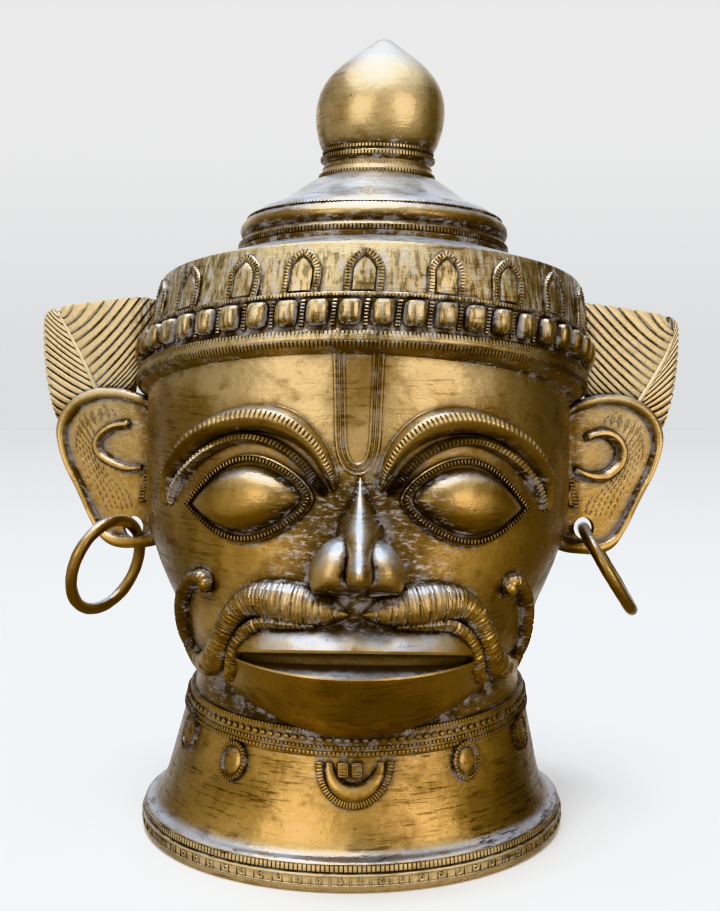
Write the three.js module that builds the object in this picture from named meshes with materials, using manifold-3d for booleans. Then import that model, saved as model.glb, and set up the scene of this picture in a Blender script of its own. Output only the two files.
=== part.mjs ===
// Brass mask: a hollow cast head with a domed crown, open behind and below, that stands on the
// flared rim of its neck, with a loose hoop through each ear lobe.
// Millimetres, +Z up. The face looks towards -Y, and the origin is on the ground under the middle of
// the part's outline.
import * as THREE from "three";
import { mergeVertices } from "three/addons/utils/BufferGeometryUtils.js";
import Module from "manifold-3d";

const wasm = await Module();
wasm.setup();

// Driving dimensions
const WALL = 4; // thickness of the casting
const BACK_Y = 38; // the head and neck end in this plane, and are open behind it
const BED = 2.5; // how deep a raised form is set into the surface below it
const AROUND = 32; // facets in a full turn of the head and neck
const AROUND_DOME = 18; // facets in a full turn of the dome and bud
const AROUND_HOLLOW = 16; // facets in a full turn of the hollow

// The head as levels: height, depth of the face in front of the axis, half width
const HEAD_LEVELS = [
  [56, 72, 46],
  [57.5, 86, 56.5],
  [61, 94, 63.5],
  [68, 101, 69],
  [83, 104.5, 75.5],
  [97, 104, 79],
  [110, 100, 82.5],
  [127, 97.5, 89.5],
  [148, 96, 94.5],
  [213, 95.5, 94.6],
];
const CHIN_Z = HEAD_LEVELS[0][0];
const JAW_RISE = 21; // how much higher the jaw ends at the sides than at the chin
const JAW_RISE_TOP = 112; // the jaw's rise has faded out at this height

// The neck's profile from the ground up: radius, height
const NECK_PROFILE = [
  [90.6, 0],
  [92.6, 1.6],
  [93.2, 7.2],
  [91.4, 7.8],
  [92, 10.6],
  [88.4, 12.4],
  [85.4, 15.5],
  [82.4, 21.5],
  [75.2, 47.4],
  [76.2, 48.8],
  [73.8, 56.6],
  [71.8, 57.6],
  [66, 72],
];
const NECK_TAPER = 0.27; // the cone's growth in radius for each millimetre down
const NECK_LEAN = 0.055; // towards the left ear, for each millimetre above the rim
const NECK_RIM_Z = 14;
const COLLAR_DIP = 5; // how much lower the collar is in front than at the sides
const NECK_INSIDE = [
  [86.6, -1],
  [86.6, 9],
  [79.6, 17],
  [68, 58],
  [62, 76],
];

// The crown, then the dome and bud, as turned profiles: radius, height
const CROWN_PROFILE = [
  [96, 195.5],
  [100.6, 199],
  [101, 204.6],
  [99, 207],
  [98.8, 218.8],
  [99.8, 220.4],
  [97.6, 222.2],
  [94.6, 244.2],
  [60, 259.5],
];
const DOME_PROFILE = [
  [62.5, 250],
  [62.5, 264],
  [59, 267],
  [60.6, 271],
  [58.6, 276],
  [52, 281],
  [43, 285],
  [35.5, 291],
  [26.8, 297.4],
  [26.8, 300.4],
  [24.6, 302],
  [26.6, 305],
  [24.6, 307.4],
  [26.8, 311],
  [28.9, 320],
  [29.3, 329],
  [26.8, 338.6],
  [20.3, 347.4],
  [9.4, 356.4],
  [0, 362],
];
const CROWN_INSIDE = [
  [93, 188],
  [93, 222],
  [89.8, 241],
  [57.5, 254.6],
  [55.5, 272],
  [39, 281],
  [22.4, 295],
  [22, 311],
  [24.8, 329],
  [17, 345],
  [0, 355],
];

// The crown is tilted a little, front up, and the dome and bud lean forward and to the left ear.
// Rows are height and the rise of the front for each millimetre before the axis.
const TILT = [
  [188, 0.13],
  [197, 0.11],
  [206, 0.085],
  [222, 0.085],
  [244, 0.06],
  [266, -0.02],
  [300, -0.08],
  [362, -0.08],
];
const LEAN = [
  [196, 1],
  [214, 2.6],
  [226, 4.2],
  [244, 4.8],
  [290, 6.5],
  [362, 9.5],
];

// The head stands on the neck with its chin forward: set about the neck's foot, it leans back and a
// little to its left, and gets narrower upwards
const HEAD_BACK = 6.3; // degrees
const HEAD_SIDE = 0.8; // degrees
const MIDDLE = { x: 4.05, y: -9.57 }; // of the whole outline, from the neck's axis
const HEAD_FOOT = { x: -0.6, z: 9.8 };
const HEAD_NARROWS = { z: 150, depth: 606, share: 0.075 };

const PEARLS = 50; // in a full turn of the crown, one to a facet
const PEARL_SPAN = 108; // degrees to each side of the front, behind which the crown is plain
const PEARL_Z = 213.4;
const ARCH_ANGLES = [-68, -50, -31, -16, -1.5, 17.5, 34, 51, 69]; // as spaced by hand
const ARCH_Z = 222.6;
const ARCH_HEIGHT = 19;

const EYE = { inner: 21.6, outer: 64.8, z: 150.2, drop: -2.6, up: 13.8, down: 11.8, bulge: 9.5 };
const NOSE_X = 1.2; // the nose stands this much to the left ear
const LIP_HALF = 46.5;

const EAR_ROOT = { x: 92, y: 6 };
const EAR_SWEEP = 22; // degrees that the ears and fans are swept back
const EAR_PLATE = 1.7; // half the thickness of the ear's shell
const EAR_SHIFT = 1.2; // the ear on the right stands this much further out
const LOBE_HOLE = { x: 103.2, z: 137.4, uneven: 1.2, radius: 5 }; // higher in the left ear
const HOOP_RADIUS = 21.6; // to the middle of the wire
const HOOP_WIRE = 2.85;

const { sin, cos, PI, sqrt, abs, tan } = Math;
const radians = THREE.MathUtils.degToRad;
const clamp = THREE.MathUtils.clamp;
const vector = (x, y, z) => new THREE.Vector3(x, y, z);
const count = (n, make) => Array.from({ length: n }, (_, i) => make(i));

// Column of a table at a key, on the straight line between its rows
function lookUp(table, key, column) {
  const next = table.findIndex((row) => row[0] >= key);
  if (next === 0) return table[0][column];
  if (next < 0) return table.at(-1)[column];
  const [low, high] = [table[next - 1], table[next]];
  return THREE.MathUtils.mapLinear(key, low[0], high[0], low[column], high[column]);
}

// Rows of numbers made into a smooth run of n + 1 rows
function smooth(rows, n) {
  const blend = (a, b, c, d, t) =>
    0.5 * (2 * b + (c - a) * t + (2 * a - 5 * b + 4 * c - d) * t * t + (3 * b - a - 3 * c + d) * t ** 3);
  return count(n + 1, (i) => {
    const place = (i / n) * (rows.length - 1);
    const start = Math.min(Math.floor(place), rows.length - 2);
    const four = [-1, 0, 1, 2].map((step) => rows[clamp(start + step, 0, rows.length - 1)]);
    return rows[0].map((_, k) => blend(...four.map((row) => row[k]), place - start));
  });
}

// A closed geometry as a solid, turned right side out
function solid(geometry) {
  const bare = new THREE.BufferGeometry().setAttribute("position", geometry.getAttribute("position"));
  bare.setIndex(geometry.index);
  const merged = mergeVertices(bare, 1e-4);
  const build = (triangles) =>
    new wasm.Manifold(
      new wasm.Mesh({
        numProp: 3,
        vertProperties: merged.attributes.position.array,
        triVerts: Uint32Array.from(triangles),
      }),
    );
  const triangles = [];
  for (let i = 0; i < merged.index.count; i += 3) {
    const [a, b, c] = [0, 1, 2].map((k) => merged.index.array[i + k]);
    if (a !== b && b !== c && a !== c) triangles.push(a, b, c);
  }
  const made = build(triangles);
  return made.volume() > 0 ? made : build(triangles.reverse());
}

// A solid through closed loops of points, with its two ends capped
function loft(loops) {
  const n = loops[0].length;
  const points = loops.flat();
  const ends = [loops[0], loops.at(-1)].map((loop) =>
    loop.reduce((sum, p) => sum.add(p), vector(0, 0, 0)).divideScalar(n),
  );
  const index = [];
  for (let i = 0; i + 1 < loops.length; i++) {
    for (let k = 0; k < n; k++) {
      const [a, b] = [i * n + k, i * n + ((k + 1) % n)];
      index.push(a, b, b + n, a, b + n, a + n);
    }
  }
  const last = (loops.length - 1) * n;
  for (let k = 0; k < n; k++) {
    index.push((k + 1) % n, k, points.length);
    index.push(last + k, last + ((k + 1) % n), points.length + 1);
  }
  const geometry = new THREE.BufferGeometry().setFromPoints([...points, ...ends]);
  return solid(geometry.setIndex(index));
}

const join = (solids) => solids.reduce((all, next) => all.add(next));

// The tilt and lean of the crown, dome and bud
function settle(point) {
  const { x, y, z } = point;
  return vector(x + lookUp(LEAN, z, 1), y, z - y * lookUp(TILT, z, 1));
}

// A point of the head, set on the neck
function stand(point) {
  const { z, depth, share } = HEAD_NARROWS;
  const k = 1 - (share * point.z) / depth;
  return vector(k * point.x, k * (point.y + depth) - depth, z + k * (point.z - z))
    .sub(vector(HEAD_FOOT.x, 0, HEAD_FOOT.z))
    .applyAxisAngle(vector(0, 1, 0), radians(HEAD_SIDE))
    .applyAxisAngle(vector(1, 0, 0), -radians(HEAD_BACK));
}

// A solid with each of its points moved
function moved(shape, move) {
  const { vertProperties, triVerts } = shape.getMesh();
  for (let i = 0; i < vertProperties.length; i += 3) {
    move(vector(0, 0, 0).fromArray(vertProperties, i)).toArray(vertProperties, i);
  }
  return new wasm.Manifold(new wasm.Mesh({ numProp: 3, vertProperties, triVerts }));
}

// The lean of the neck, and the collar's dip at the front
function bend(point) {
  const { x, y, z } = point;
  const share = clamp((z - 22) / 26, 0, 1);
  const rise = (COLLAR_DIP * share * (y + 75)) / 75;
  return vector(x + NECK_LEAN * Math.max(0, z - NECK_RIM_Z), y, z + clamp(rise, 0, COLLAR_DIP));
}

// A turned solid about the upright axis, from its outer profile
function turned(profile, around, place = (p) => p) {
  const closed = profile.at(-1)[0] === 0 ? profile : [...profile, [0, profile.at(-1)[1]]];
  const points = [[0, profile[0][1]], ...closed].map(([r, z]) => new THREE.Vector2(r, z));
  const geometry = new THREE.LatheGeometry(points, around).rotateX(PI / 2);
  const position = geometry.attributes.position;
  for (let i = 0; i < position.count; i++) {
    const p = place(vector(position.getX(i), position.getY(i), position.getZ(i)));
    position.setXYZ(i, p.x, p.y, p.z);
  }
  return solid(geometry);
}

// A place on the crown at an angle from the front, and out and up from a point of its profile
function onCrown(degrees, across, radius, z) {
  const angle = radians(degrees) + across / radius;
  return settle(vector(radius * sin(angle), -radius * cos(angle), z));
}

// A point of the head's surface, by angle from the front and level, less an inset
function headPoint(angle, level, inset = 0) {
  const front = lookUp(HEAD_LEVELS, level, 1) - inset;
  const side = lookUp(HEAD_LEVELS, level, 2) - inset;
  const fade = clamp((JAW_RISE_TOP - level) / (JAW_RISE_TOP - CHIN_Z), 0, 1);
  const depth = cos(angle) > 0 ? front : side;
  return vector(side * sin(angle), -depth * cos(angle), level + JAW_RISE * fade * sin(angle) ** 2);
}

// The face's surface under a point of the front view, with its outward normal
function onFace(x, z) {
  let level = z;
  let [front, side, share] = [1, 1, 0];
  for (let pass = 0; pass < 4; pass++) {
    front = lookUp(HEAD_LEVELS, level, 1);
    side = lookUp(HEAD_LEVELS, level, 2);
    share = clamp(x / side, -0.985, 0.985);
    const fade = clamp((JAW_RISE_TOP - level) / (JAW_RISE_TOP - CHIN_Z), 0, 1);
    level = z - JAW_RISE * fade * share ** 2;
  }
  const y = -front * sqrt(1 - share ** 2);
  const normal = vector(share / side, y / front ** 2, 0).normalize();
  return { point: vector(share * side, y, z), normal };
}

const lifted = (x, z, lift) => {
  const { point, normal } = onFace(x, z);
  return point.addScaledVector(normal, lift);
};

// A cord laid on a surface. Stations hold a point, the surface's normal, half the width and the height
function cord(stations, sides) {
  return loft(
    stations.map(({ point, normal, width, height }, i) => {
      const [before, after] = [stations[Math.max(i - 1, 0)], stations[Math.min(i + 1, stations.length - 1)]];
      const along = after.point.clone().sub(before.point).normalize();
      const across = along.clone().cross(normal).normalize();
      return count(sides, (k) => {
        const turn = (2 * PI * (k + 0.5)) / sides;
        const up = sin(turn) * (sin(turn) > 0 ? height : Math.min(BED, height));
        const edge = point.clone().addScaledVector(across, width * cos(turn));
        return edge.addScaledVector(normal, up);
      });
    }),
  );
}

// A cord on the face from rows of x, z, half width and height, smoothed to n steps
const faceCord = (rows, n, sides = 6) =>
  cord(smooth(rows, n).map(([x, z, width, height]) => ({ ...onFace(x, z), width, height })), sides);

const mirrored = (rows, side) => rows.map(([x, ...rest]) => [side * x, ...rest]);

// The head as one lump
const headLump = () =>
  loft(HEAD_LEVELS.map(([level]) => count(AROUND, (k) => headPoint((2 * PI * k) / AROUND, level))));

// The hollow inside the head, neck, crown, dome and bud
function hollow() {
  const floor = CHIN_Z + WALL;
  const levels = [floor, ...HEAD_LEVELS.map(([z]) => z).filter((z) => z > floor + WALL)];
  const head = levels.map((level) => {
    const inset = level === floor ? 2 * WALL : WALL;
    return count(AROUND_HOLLOW, (k) => headPoint((2 * PI * k) / AROUND_HOLLOW, level, inset));
  });
  const upper = join([loft(head), turned(CROWN_INSIDE, AROUND_HOLLOW, settle)]);
  return moved(upper, stand).add(turned(NECK_INSIDE, AROUND_HOLLOW, bend));
}

// One square pearl of the crown
function pearl(degrees) {
  // radius, half width and half height of its foot and its top
  const rings = [
    [97.6, 4.6, 5.2],
    [103, 3.7, 4.2],
  ];
  const corners = [[-1, -1], [1, -1], [1, 1], [-1, 1]];
  return loft(
    rings.map(([radius, across, up]) =>
      corners.map(([a, b]) => onCrown(degrees, a * across, radius, PEARL_Z + b * up)),
    ),
  );
}

// One pointed arch standing on the crown's upper band
function arch(degrees) {
  const outline = [[-7.4, 0], [7.4, 0], [7.6, 10], [4.2, 16], [0, ARCH_HEIGHT], [-4.2, 16], [-7.6, 10]];
  const wall = CROWN_PROFILE.slice(-3, -1).map(([radius, z]) => [z, radius]);
  return loft(
    [[-BED, 1.05], [1.8, 0.9]].map(([lift, scale]) =>
      outline.map(([across, up]) => {
        const z = ARCH_Z + 8 + (up - 8) * scale;
        return onCrown(degrees, across * scale, lookUp(wall, z, 1) + lift, z);
      }),
    ),
  );
}

// An eye: an almond dome in a cord rim, on a low mound
function eye(side) {
  const around = 12;
  // The almond in the front view, grown by a margin
  const almond = (margin) =>
    count(around, (i) => {
      const run = 1 - abs(1 - (2 * i) / around);
      const rise = 2 * i < around ? EYE.up + margin : -EYE.down - margin;
      const x = THREE.MathUtils.lerp(EYE.inner - 1.15 * margin, EYE.outer + 0.85 * margin, run);
      return [side * x, EYE.z + EYE.drop * run + rise * sin(PI * run) ** 0.8];
    });
  const [midX, midZ] = [(side * (EYE.inner + EYE.outer)) / 2, EYE.z + EYE.drop / 2];
  // margin, share of the almond's size, lift
  const rings = [
    [4.8, 1, -BED],
    [4.8, 1, 0.4],
    [3.9, 1, 3],
    [1.8, 1, 3],
    [1, 1, 0.8],
    [0, 1, 1.6],
    [0, 0.78, 6.2],
    [0, 0.36, EYE.bulge],
  ];
  return loft(
    rings.map(([margin, share, lift]) =>
      almond(margin).map(([x, z]) => lifted(midX + share * (x - midX), midZ + share * (z - midZ), lift)),
    ),
  );
}

// The arched brow, which rises to a crest and falls towards the eye, and the lid cord below it
function brow(side) {
  // brow's upper edge x, z, its lower edge x, z, its height, then the lid cord's middle x, z and height
  const rows = [
    [81, 148, 78.6, 147, 2, 77.2, 146.5, 2],
    [79.6, 161, 75.6, 158.6, 4, 72.6, 156.4, 3.6],
    [69.5, 175, 65.6, 168.5, 6, 63, 166, 4.4],
    [54, 184, 52.6, 174.6, 7, 52, 172, 4.8],
    [38, 187, 40.6, 176, 7.5, 41.6, 173.8, 4.8],
    [24, 183.5, 28.6, 173.5, 7.5, 30.6, 170.8, 4.6],
    [14, 174, 18.6, 167, 6.5, 21, 163.8, 4.2],
    [8.6, 163, 12.4, 158, 5, 15.2, 156, 3.6],
    [7.4, 155, 9.6, 152.5, 3, 12, 151.5, 2],
  ];
  return loft(
    smooth(rows, 10).map(([x0, z0, x1, z1, crest, x2, z2, lid]) => {
      const [dx, dz] = [x1 - x0, z1 - z0];
      const [ex, ez] = [x2 - x1, z2 - z1];
      const places = [
        [x0, z0, -BED],
        [x0, z0, 0.1],
        [x0 + 0.14 * dx, z0 + 0.14 * dz, 0.65 * crest],
        [x0 + 0.5 * dx, z0 + 0.5 * dz, crest],
        [x1, z1, 0.5],
        [x2 - 0.35 * ex, z2 - 0.35 * ez, lid],
        [x2 + 0.2 * ex, z2 + 0.2 * ez, lid],
        [x2 + 0.7 * ex, z2 + 0.7 * ez, -BED],
      ];
      return places.map(([x, z, lift]) => lifted(side * x, z, lift));
    }),
  );
}

// The nose: a straight crest down to a round tip, a round wing on each side, and a flat underside
function nose() {
  // height, half width at the face, half width near the crest, depth of the crest
  const rows = [
    [158, 1, 0.6, 97],
    [151, 4.4, 1.3, 103.2],
    [141, 8.8, 2.1, 111.8],
    [136.5, 9.8, 2.5, 116.2],
    [129, 6.8, 3.2, 123],
    [123.4, 5.8, 4.1, 128.4],
    [120.8, 5.6, 4, 128.7],
    [112, 4.4, 2.4, 118],
  ];
  const ridge = loft(
    rows.map(([z, base, half, depth]) => {
      const skin = -onFace(0, z).point.y;
      const proud = depth - skin;
      const right = [
        [base, -5],
        [base, -0.4],
        [0.45 * base + 0.62 * half, 0.5 * proud],
        [half, 0.84 * proud],
      ];
      const left = right.map(([x, out]) => [-x, out]).reverse();
      return [...right, [0, proud], ...left].map(([x, out]) => vector(x, -skin - out, z));
    }),
  );
  // A wing leans towards the crest above its middle
  const wing = (side, middle, wide, tall) =>
    moved(solid(new THREE.SphereGeometry(1, 8, 6).rotateX(PI / 2).scale(wide, 15.2, tall)), ({ x, y, z }) =>
      vector(x + side * (middle - 0.2 * Math.max(z, 0)), y - 102.5, z + 122.5),
    );
  const form = join([ridge, wing(-1, 9.6, 9.6, 13.8), wing(1, 8.8, 8.9, 12.6)]);
  // Only what is above the underside is kept: level under the tip, then falling towards the lip
  const underside = [[-140, 119.4], [-130, 119.4], [-116, 118.6], [-98, 112.5], [-60, 99.5], [-60, 90], [-140, 90]];
  const below = loft([-40, 40].map((x) => underside.map(([y, z]) => vector(x, y, z))));
  return form.subtract(below).translate(NOSE_X, 0, 0);
}

// One half of the moustache: a full lobe beside the nose, a drop past the lip and a curl up the cheek,
// with a low strand inside the drop
function moustache(side) {
  const lobe = [
    [2.8, 106.8, 1.2, 3],
    [10.5, 107.6, 5.8, 6],
    [21, 109.4, 9, 8],
    [31, 111, 8.6, 8],
    [40, 110, 6.8, 7.2],
    [46.6, 104, 6, 6.6],
    [50.5, 96, 6, 6.2],
    [54.5, 88, 6.2, 6],
  ];
  const curl = [
    [60.4, 82.4, 5.6, 5.8],
    [66.4, 85.4, 4.6, 5.3],
    [70, 92, 3.8, 5],
    [71.2, 99.6, 3.4, 5],
    [70.8, 107, 3.3, 5],
    [68.2, 113.8, 3.3, 5.1],
    [63.8, 117.9, 3.4, 5.3],
    [59.6, 117.8, 3.6, 5.6],
    [57.6, 115, 3, 5],
  ];
  const inner = [
    [17, 101.6, 1.4, 3.4],
    [26.8, 103, 3, 4.6],
    [36, 103.4, 3.6, 4.6],
    [42.4, 98.6, 3.8, 4.6],
    [46.2, 92, 4, 4.6],
    [48.2, 84, 3.6, 4.2],
    [50, 78.5, 2, 3],
  ];
  // the curl on the right lies closer in
  const outer = [...lobe, ...curl.map(([x, ...rest]) => [side > 0 ? 0.75 * x + 16 : x, ...rest])];
  return faceCord(mirrored(outer, side), 15).add(faceCord(mirrored(inner, side), 5, 5));
}

// The lips with the slit between them: sections across the mouth, each a list of height and lift
function lips() {
  const stations = 11;
  return loft(
    count(stations, (i) => {
      const share = (2 * i) / (stations - 1) - 1;
      const s = abs(share);
      const full = sqrt(1 - 0.92 * s * s);
      const foot = 66 + 12 * s * s;
      const lowerEdge = 83.2 + 4.6 * s * s;
      const slit = [88.8 - s * s, 92.4 - 2.8 * s * s];
      const top = 101.5 - 3.6 * s ** 3 + 4 * Math.max(0, 1 - 4 * s);
      const section = [
        [foot, -BED],
        [foot, 0.2],
        [(lowerEdge + foot) / 2, 2.3 * full],
        [lowerEdge - 1.8, 5.4 * full],
        [lowerEdge, 6.6 * full],
        [slit[0], 2.2 * full],
        [slit[1], 0.4],
        [slit[1] + 0.4, 5.4 * full],
        [slit[1] + 1.6, 6.2 * full],
        [(slit[1] + top) / 2, 4.4 * full],
        [top, 0.6],
        [top, -BED],
      ];
      return section.map(([z, lift]) => lifted(LIP_HALF * share, z, lift));
    }),
  );
}

// The crescent and medallions that hang from the collar
function pendants() {
  const onNeck = (degrees, z, lift = 0) => {
    const angle = radians(degrees);
    const normal = vector(sin(angle), -cos(angle), NECK_TAPER).normalize();
    const radius = lookUp([[21.5, 82.4], [47.4, 75.2]], z, 1);
    const point = vector(radius * sin(angle), -radius * cos(angle), z).addScaledVector(normal, lift);
    return { point: bend(point), normal };
  };
  const disc = ([degrees, z, width, height]) =>
    loft(
      [[-BED, 1], [1.8, 0.8]].map(([lift, scale]) =>
        count(8, (k) => {
          const turn = (2 * PI * k) / 8;
          const across = THREE.MathUtils.radToDeg((width * scale * cos(turn)) / 78);
          return onNeck(degrees + across, z + height * scale * sin(turn), lift).point;
        }),
      ),
    );
  const crescent = cord(
    count(9, (i) => {
      const turn = -PI * (0.05 + (0.9 * i) / 8);
      const taper = 0.45 + 0.55 * sin((PI * i) / 8);
      const degrees = THREE.MathUtils.radToDeg((11.6 * cos(turn)) / 78);
      return { ...onNeck(degrees, 46.4 + 13.4 * sin(turn)), width: 5.2 * taper, height: 2.6 * taper };
    }),
    5,
  );
  const discs = [[-65.3, 43.6, 7, 6.8], [-39.2, 41, 6.9, 7.4], [35.4, 42.2, 6.8, 7.4], [65, 43.6, 7, 6.8]];
  return [crescent, ...discs.map(disc)];
}

const earNormal = (side) => vector(side * sin(radians(EAR_SWEEP)), -cos(radians(EAR_SWEEP)), 0);

// A place on an ear or fan: its distance from the axis in the front view, its height, and its
// distance out from the plate
function onEar(side, x, z, out) {
  const shift = side > 0 ? EAR_SHIFT : 0;
  const y = EAR_ROOT.y + (x - EAR_ROOT.x) * tan(radians(EAR_SWEEP));
  return vector(side * x + shift, y, z).addScaledVector(earNormal(side), out);
}

const lobeHole = (side) => ({ ...LOBE_HOLE, z: LOBE_HOLE.z + side * LOBE_HOLE.uneven });

// The ear: a shell with a rolled rim, a curl inside and a pierced lobe
function ear(side) {
  const rim = smooth(
    [
      [88, 188],
      [96, 193.5],
      [109, 198],
      [123, 198],
      [134.5, 192],
      [139.8, 181],
      [136.5, 167],
      [129, 153],
      [121.5, 139],
      [115, 131],
      [104, 129],
      [88, 134],
      [82, 160],
      [88, 188],
    ],
    13,
  ).slice(0, 13);
  const middle = [112, 166];
  // share of the outline's size, out from the plate
  const rings = [
    [0.8, -EAR_PLATE],
    [1, -EAR_PLATE],
    [1.07, 1],
    [1.03, 4.6],
    [0.97, 4.6],
    [0.92, 0.8],
  ];
  const scaled = (share, point) => point.map((value, k) => middle[k] + share * (value - middle[k]));
  const shell = loft(
    rings.map(([share, out]) => rim.map((point) => onEar(side, ...scaled(share, point), out))),
  );
  const curls = {
    right: [
      [106.4, 183.6, 2.1],
      [112.4, 183, 2.4],
      [118, 180.2, 2.6],
      [121.3, 174.2, 2.6],
      [119.6, 169.6, 2.5],
      [115, 166.4, 2.4],
      [108, 163.8, 2.2],
      [99, 163.6, 1.6],
    ],
    left: [
      [104.1, 180.6, 2.2],
      [110.5, 182.6, 2.7],
      [117.4, 180.8, 3.1],
      [121.2, 174.1, 3.2],
      [119.6, 168, 3.2],
      [114.6, 163.6, 3.1],
      [107, 162, 2.8],
      [98, 165.5, 1.9],
    ],
  };
  const rolled = cord(
    smooth(side < 0 ? curls.right : curls.left, 7).map(([x, z, size]) => {
      return { point: onEar(side, x, z, 0.4), normal: earNormal(side), width: size, height: 1.4 * size };
    }),
    5,
  );
  const { x, z, radius } = lobeHole(side);
  const pin = loft(
    [-20, 20].map((out) =>
      count(10, (k) => {
        const turn = (2 * PI * k) / 10;
        return onEar(side, x + radius * cos(turn), z + radius * sin(turn), out);
      }),
    ),
  );
  return join([shell, rolled]).subtract(pin);
}

// The feathered fan above an ear: veins that leave a midrib and end in a toothed edge
function fan(side) {
  const midribs = {
    right: [[122, 199], [128, 211], [136, 225], [143, 237]],
    left: [[130, 198], [137, 209], [144, 221], [149, 233]],
  };
  const midrib = side < 0 ? midribs.right : midribs.left;
  const veins = 12;
  const inwardEdge = [[103, 205], [95, 220], [90, 235], [98, 241.6], [116, 242], [140.6, 240.4]];
  const outwardEdge = [[143.4, 187], [147.4, 201], [149.6, 215], [150.4, 227], [150, 236], [146, 239.6]];
  const inwardFoot = smooth([[104, 199], [113, 199.6], ...midrib], veins);
  const outwardFoot = smooth([[141, 186], [133, 193], ...midrib], veins);
  const inwardEnd = smooth(inwardEdge, veins);
  const outwardEnd = smooth(outwardEdge, veins);
  const between = (a, b, t, bow) => [a[0] + (b[0] - a[0]) * t, a[1] + (b[1] - a[1]) * t + bow];
  return loft(
    count(veins + 1, (i) => {
      const high = i % 2 === 1;
      const [lift, reach] = high ? [2.6, 1.02] : [0.9, 0.98];
      const front = [
        [...between(inwardFoot[i], inwardEnd[i], reach, 0), lift],
        [...between(inwardFoot[i], inwardEnd[i], 0.5, -2.4), lift],
        [...inwardFoot[i], 1.2],
        [...outwardFoot[i], 1.2],
        [...between(outwardFoot[i], outwardEnd[i], 0.5, -1), lift],
        [...between(outwardFoot[i], outwardEnd[i], reach, 0), lift],
      ];
      const back = [front[5], front[0]].map(([x, z]) => [x, z, -1.5]);
      return [...front, ...back].map(([x, z, out]) => onEar(side, x, z, out));
    }),
  );
}

// A hoop through a lobe. Down is its long way in the front view, deep leads behind the ear, and it
// has slipped round by an angle from hanging straight below the hole
function hoop(side, down, deep, slipped) {
  const hole = onEar(side, LOBE_HOLE.x, lobeHole(side).z, 0);
  const [u, v] = [down.clone().normalize(), deep.clone().normalize()];
  v.addScaledVector(u, -v.dot(u)).normalize();
  const middle = hole
    .addScaledVector(u, HOOP_RADIUS * cos(slipped))
    .addScaledVector(v, -HOOP_RADIUS * sin(slipped));
  const geometry = new THREE.TorusGeometry(HOOP_RADIUS, HOOP_WIRE, 6, 16);
  geometry.applyMatrix4(new THREE.Matrix4().makeBasis(u, v, u.clone().cross(v)).setPosition(middle));
  return moved(solid(geometry), stand);
}

// The whole casting
function mask() {
  const both = (make) => [make(-1), make(1)];
  const behind = solid(new THREE.BoxGeometry(300, 200, 500).translate(0, BACK_Y + 100, 100));
  const open = join([moved(headLump(), stand), turned(NECK_PROFILE, AROUND, bend)]).subtract(behind);
  const pearlAngles = count(PEARLS, (i) => ((i + 0.5) * 360) / PEARLS - 180);
  const onHead = [
    turned(CROWN_PROFILE, PEARLS, settle),
    turned(DOME_PROFILE, AROUND_DOME, settle),
    ...pearlAngles.filter((angle) => abs(angle) < PEARL_SPAN).map(pearl),
    ...ARCH_ANGLES.map(arch),
    ...both(eye),
    ...both(brow),
    ...both(moustache),
    nose(),
    lips(),
    ...both(ear),
    ...both(fan),
  ];
  return join([open, ...onHead.map((shape) => moved(shape, stand)), ...pendants()]).subtract(hollow());
}

// A named mesh from a solid
function piece(name, shape, color, roughness) {
  const { vertProperties, triVerts, numProp } = shape.getMesh();
  const geometry = new THREE.BufferGeometry();
  const interleaved = new THREE.InterleavedBuffer(vertProperties, numProp);
  geometry.setAttribute("position", new THREE.InterleavedBufferAttribute(interleaved, 3, 0));
  geometry.setIndex(new THREE.BufferAttribute(triVerts, 1));
  const flat = geometry.toNonIndexed();
  flat.computeVertexNormals();
  const material = new THREE.MeshStandardMaterial({ color, roughness, metalness: 1 });
  const mesh = new THREE.Mesh(flat, material);
  mesh.name = name;
  return mesh;
}

const BRASS = 0xb08a45;
const DARK_BRASS = 0x8a6a3a;
const rightHoop = hoop(-1, vector(-0.38, 0, -0.92), vector(0.44, 0.88, -0.18), 0.36);
const leftHoop = hoop(1, vector(0.52, 0, -0.85), vector(0.14, 0.99, 0.08), 0.09);

const group = new THREE.Group();
group.add(piece("mask", mask(), BRASS, 0.34));
group.add(piece("ear_hoop_right", rightHoop, DARK_BRASS, 0.38));
group.add(piece("ear_hoop_left", leftHoop, DARK_BRASS, 0.38));
group.position.set(-MIDDLE.x, -MIDDLE.y, 0);

export default group;
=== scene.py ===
"""The brass mask dressed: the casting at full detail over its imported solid, its two wire hoops,
their brass, a floor, the light and the camera. Shapes are worked out in millimetres."""

from math import atan2, cos, degrees, pi, radians, sin

import bpy
import numpy as np
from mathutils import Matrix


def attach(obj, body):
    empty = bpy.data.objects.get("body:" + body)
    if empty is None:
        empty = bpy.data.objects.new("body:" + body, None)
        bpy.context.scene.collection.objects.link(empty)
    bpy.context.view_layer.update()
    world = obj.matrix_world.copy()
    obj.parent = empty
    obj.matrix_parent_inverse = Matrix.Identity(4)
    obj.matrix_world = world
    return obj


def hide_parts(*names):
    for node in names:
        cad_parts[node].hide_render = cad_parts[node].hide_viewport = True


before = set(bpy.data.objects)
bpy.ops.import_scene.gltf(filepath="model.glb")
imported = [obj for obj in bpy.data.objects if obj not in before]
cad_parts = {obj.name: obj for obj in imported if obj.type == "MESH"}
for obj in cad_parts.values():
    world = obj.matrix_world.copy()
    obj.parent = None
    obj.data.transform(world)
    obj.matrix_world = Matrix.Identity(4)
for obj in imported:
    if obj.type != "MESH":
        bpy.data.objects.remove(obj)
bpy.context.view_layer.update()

# Driving dimensions in millimetres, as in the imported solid
WALL = 4
BACK_Y = 38  # the plane of the open back
BED = 2.5  # how far relief is sunk into what carries it
MIDDLE = np.array([4.05, -9.57, 0.0])  # the middle of the outline, which the frame has as its origin
HEAD_BACK = radians(6.3)  # the head leans back
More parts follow.
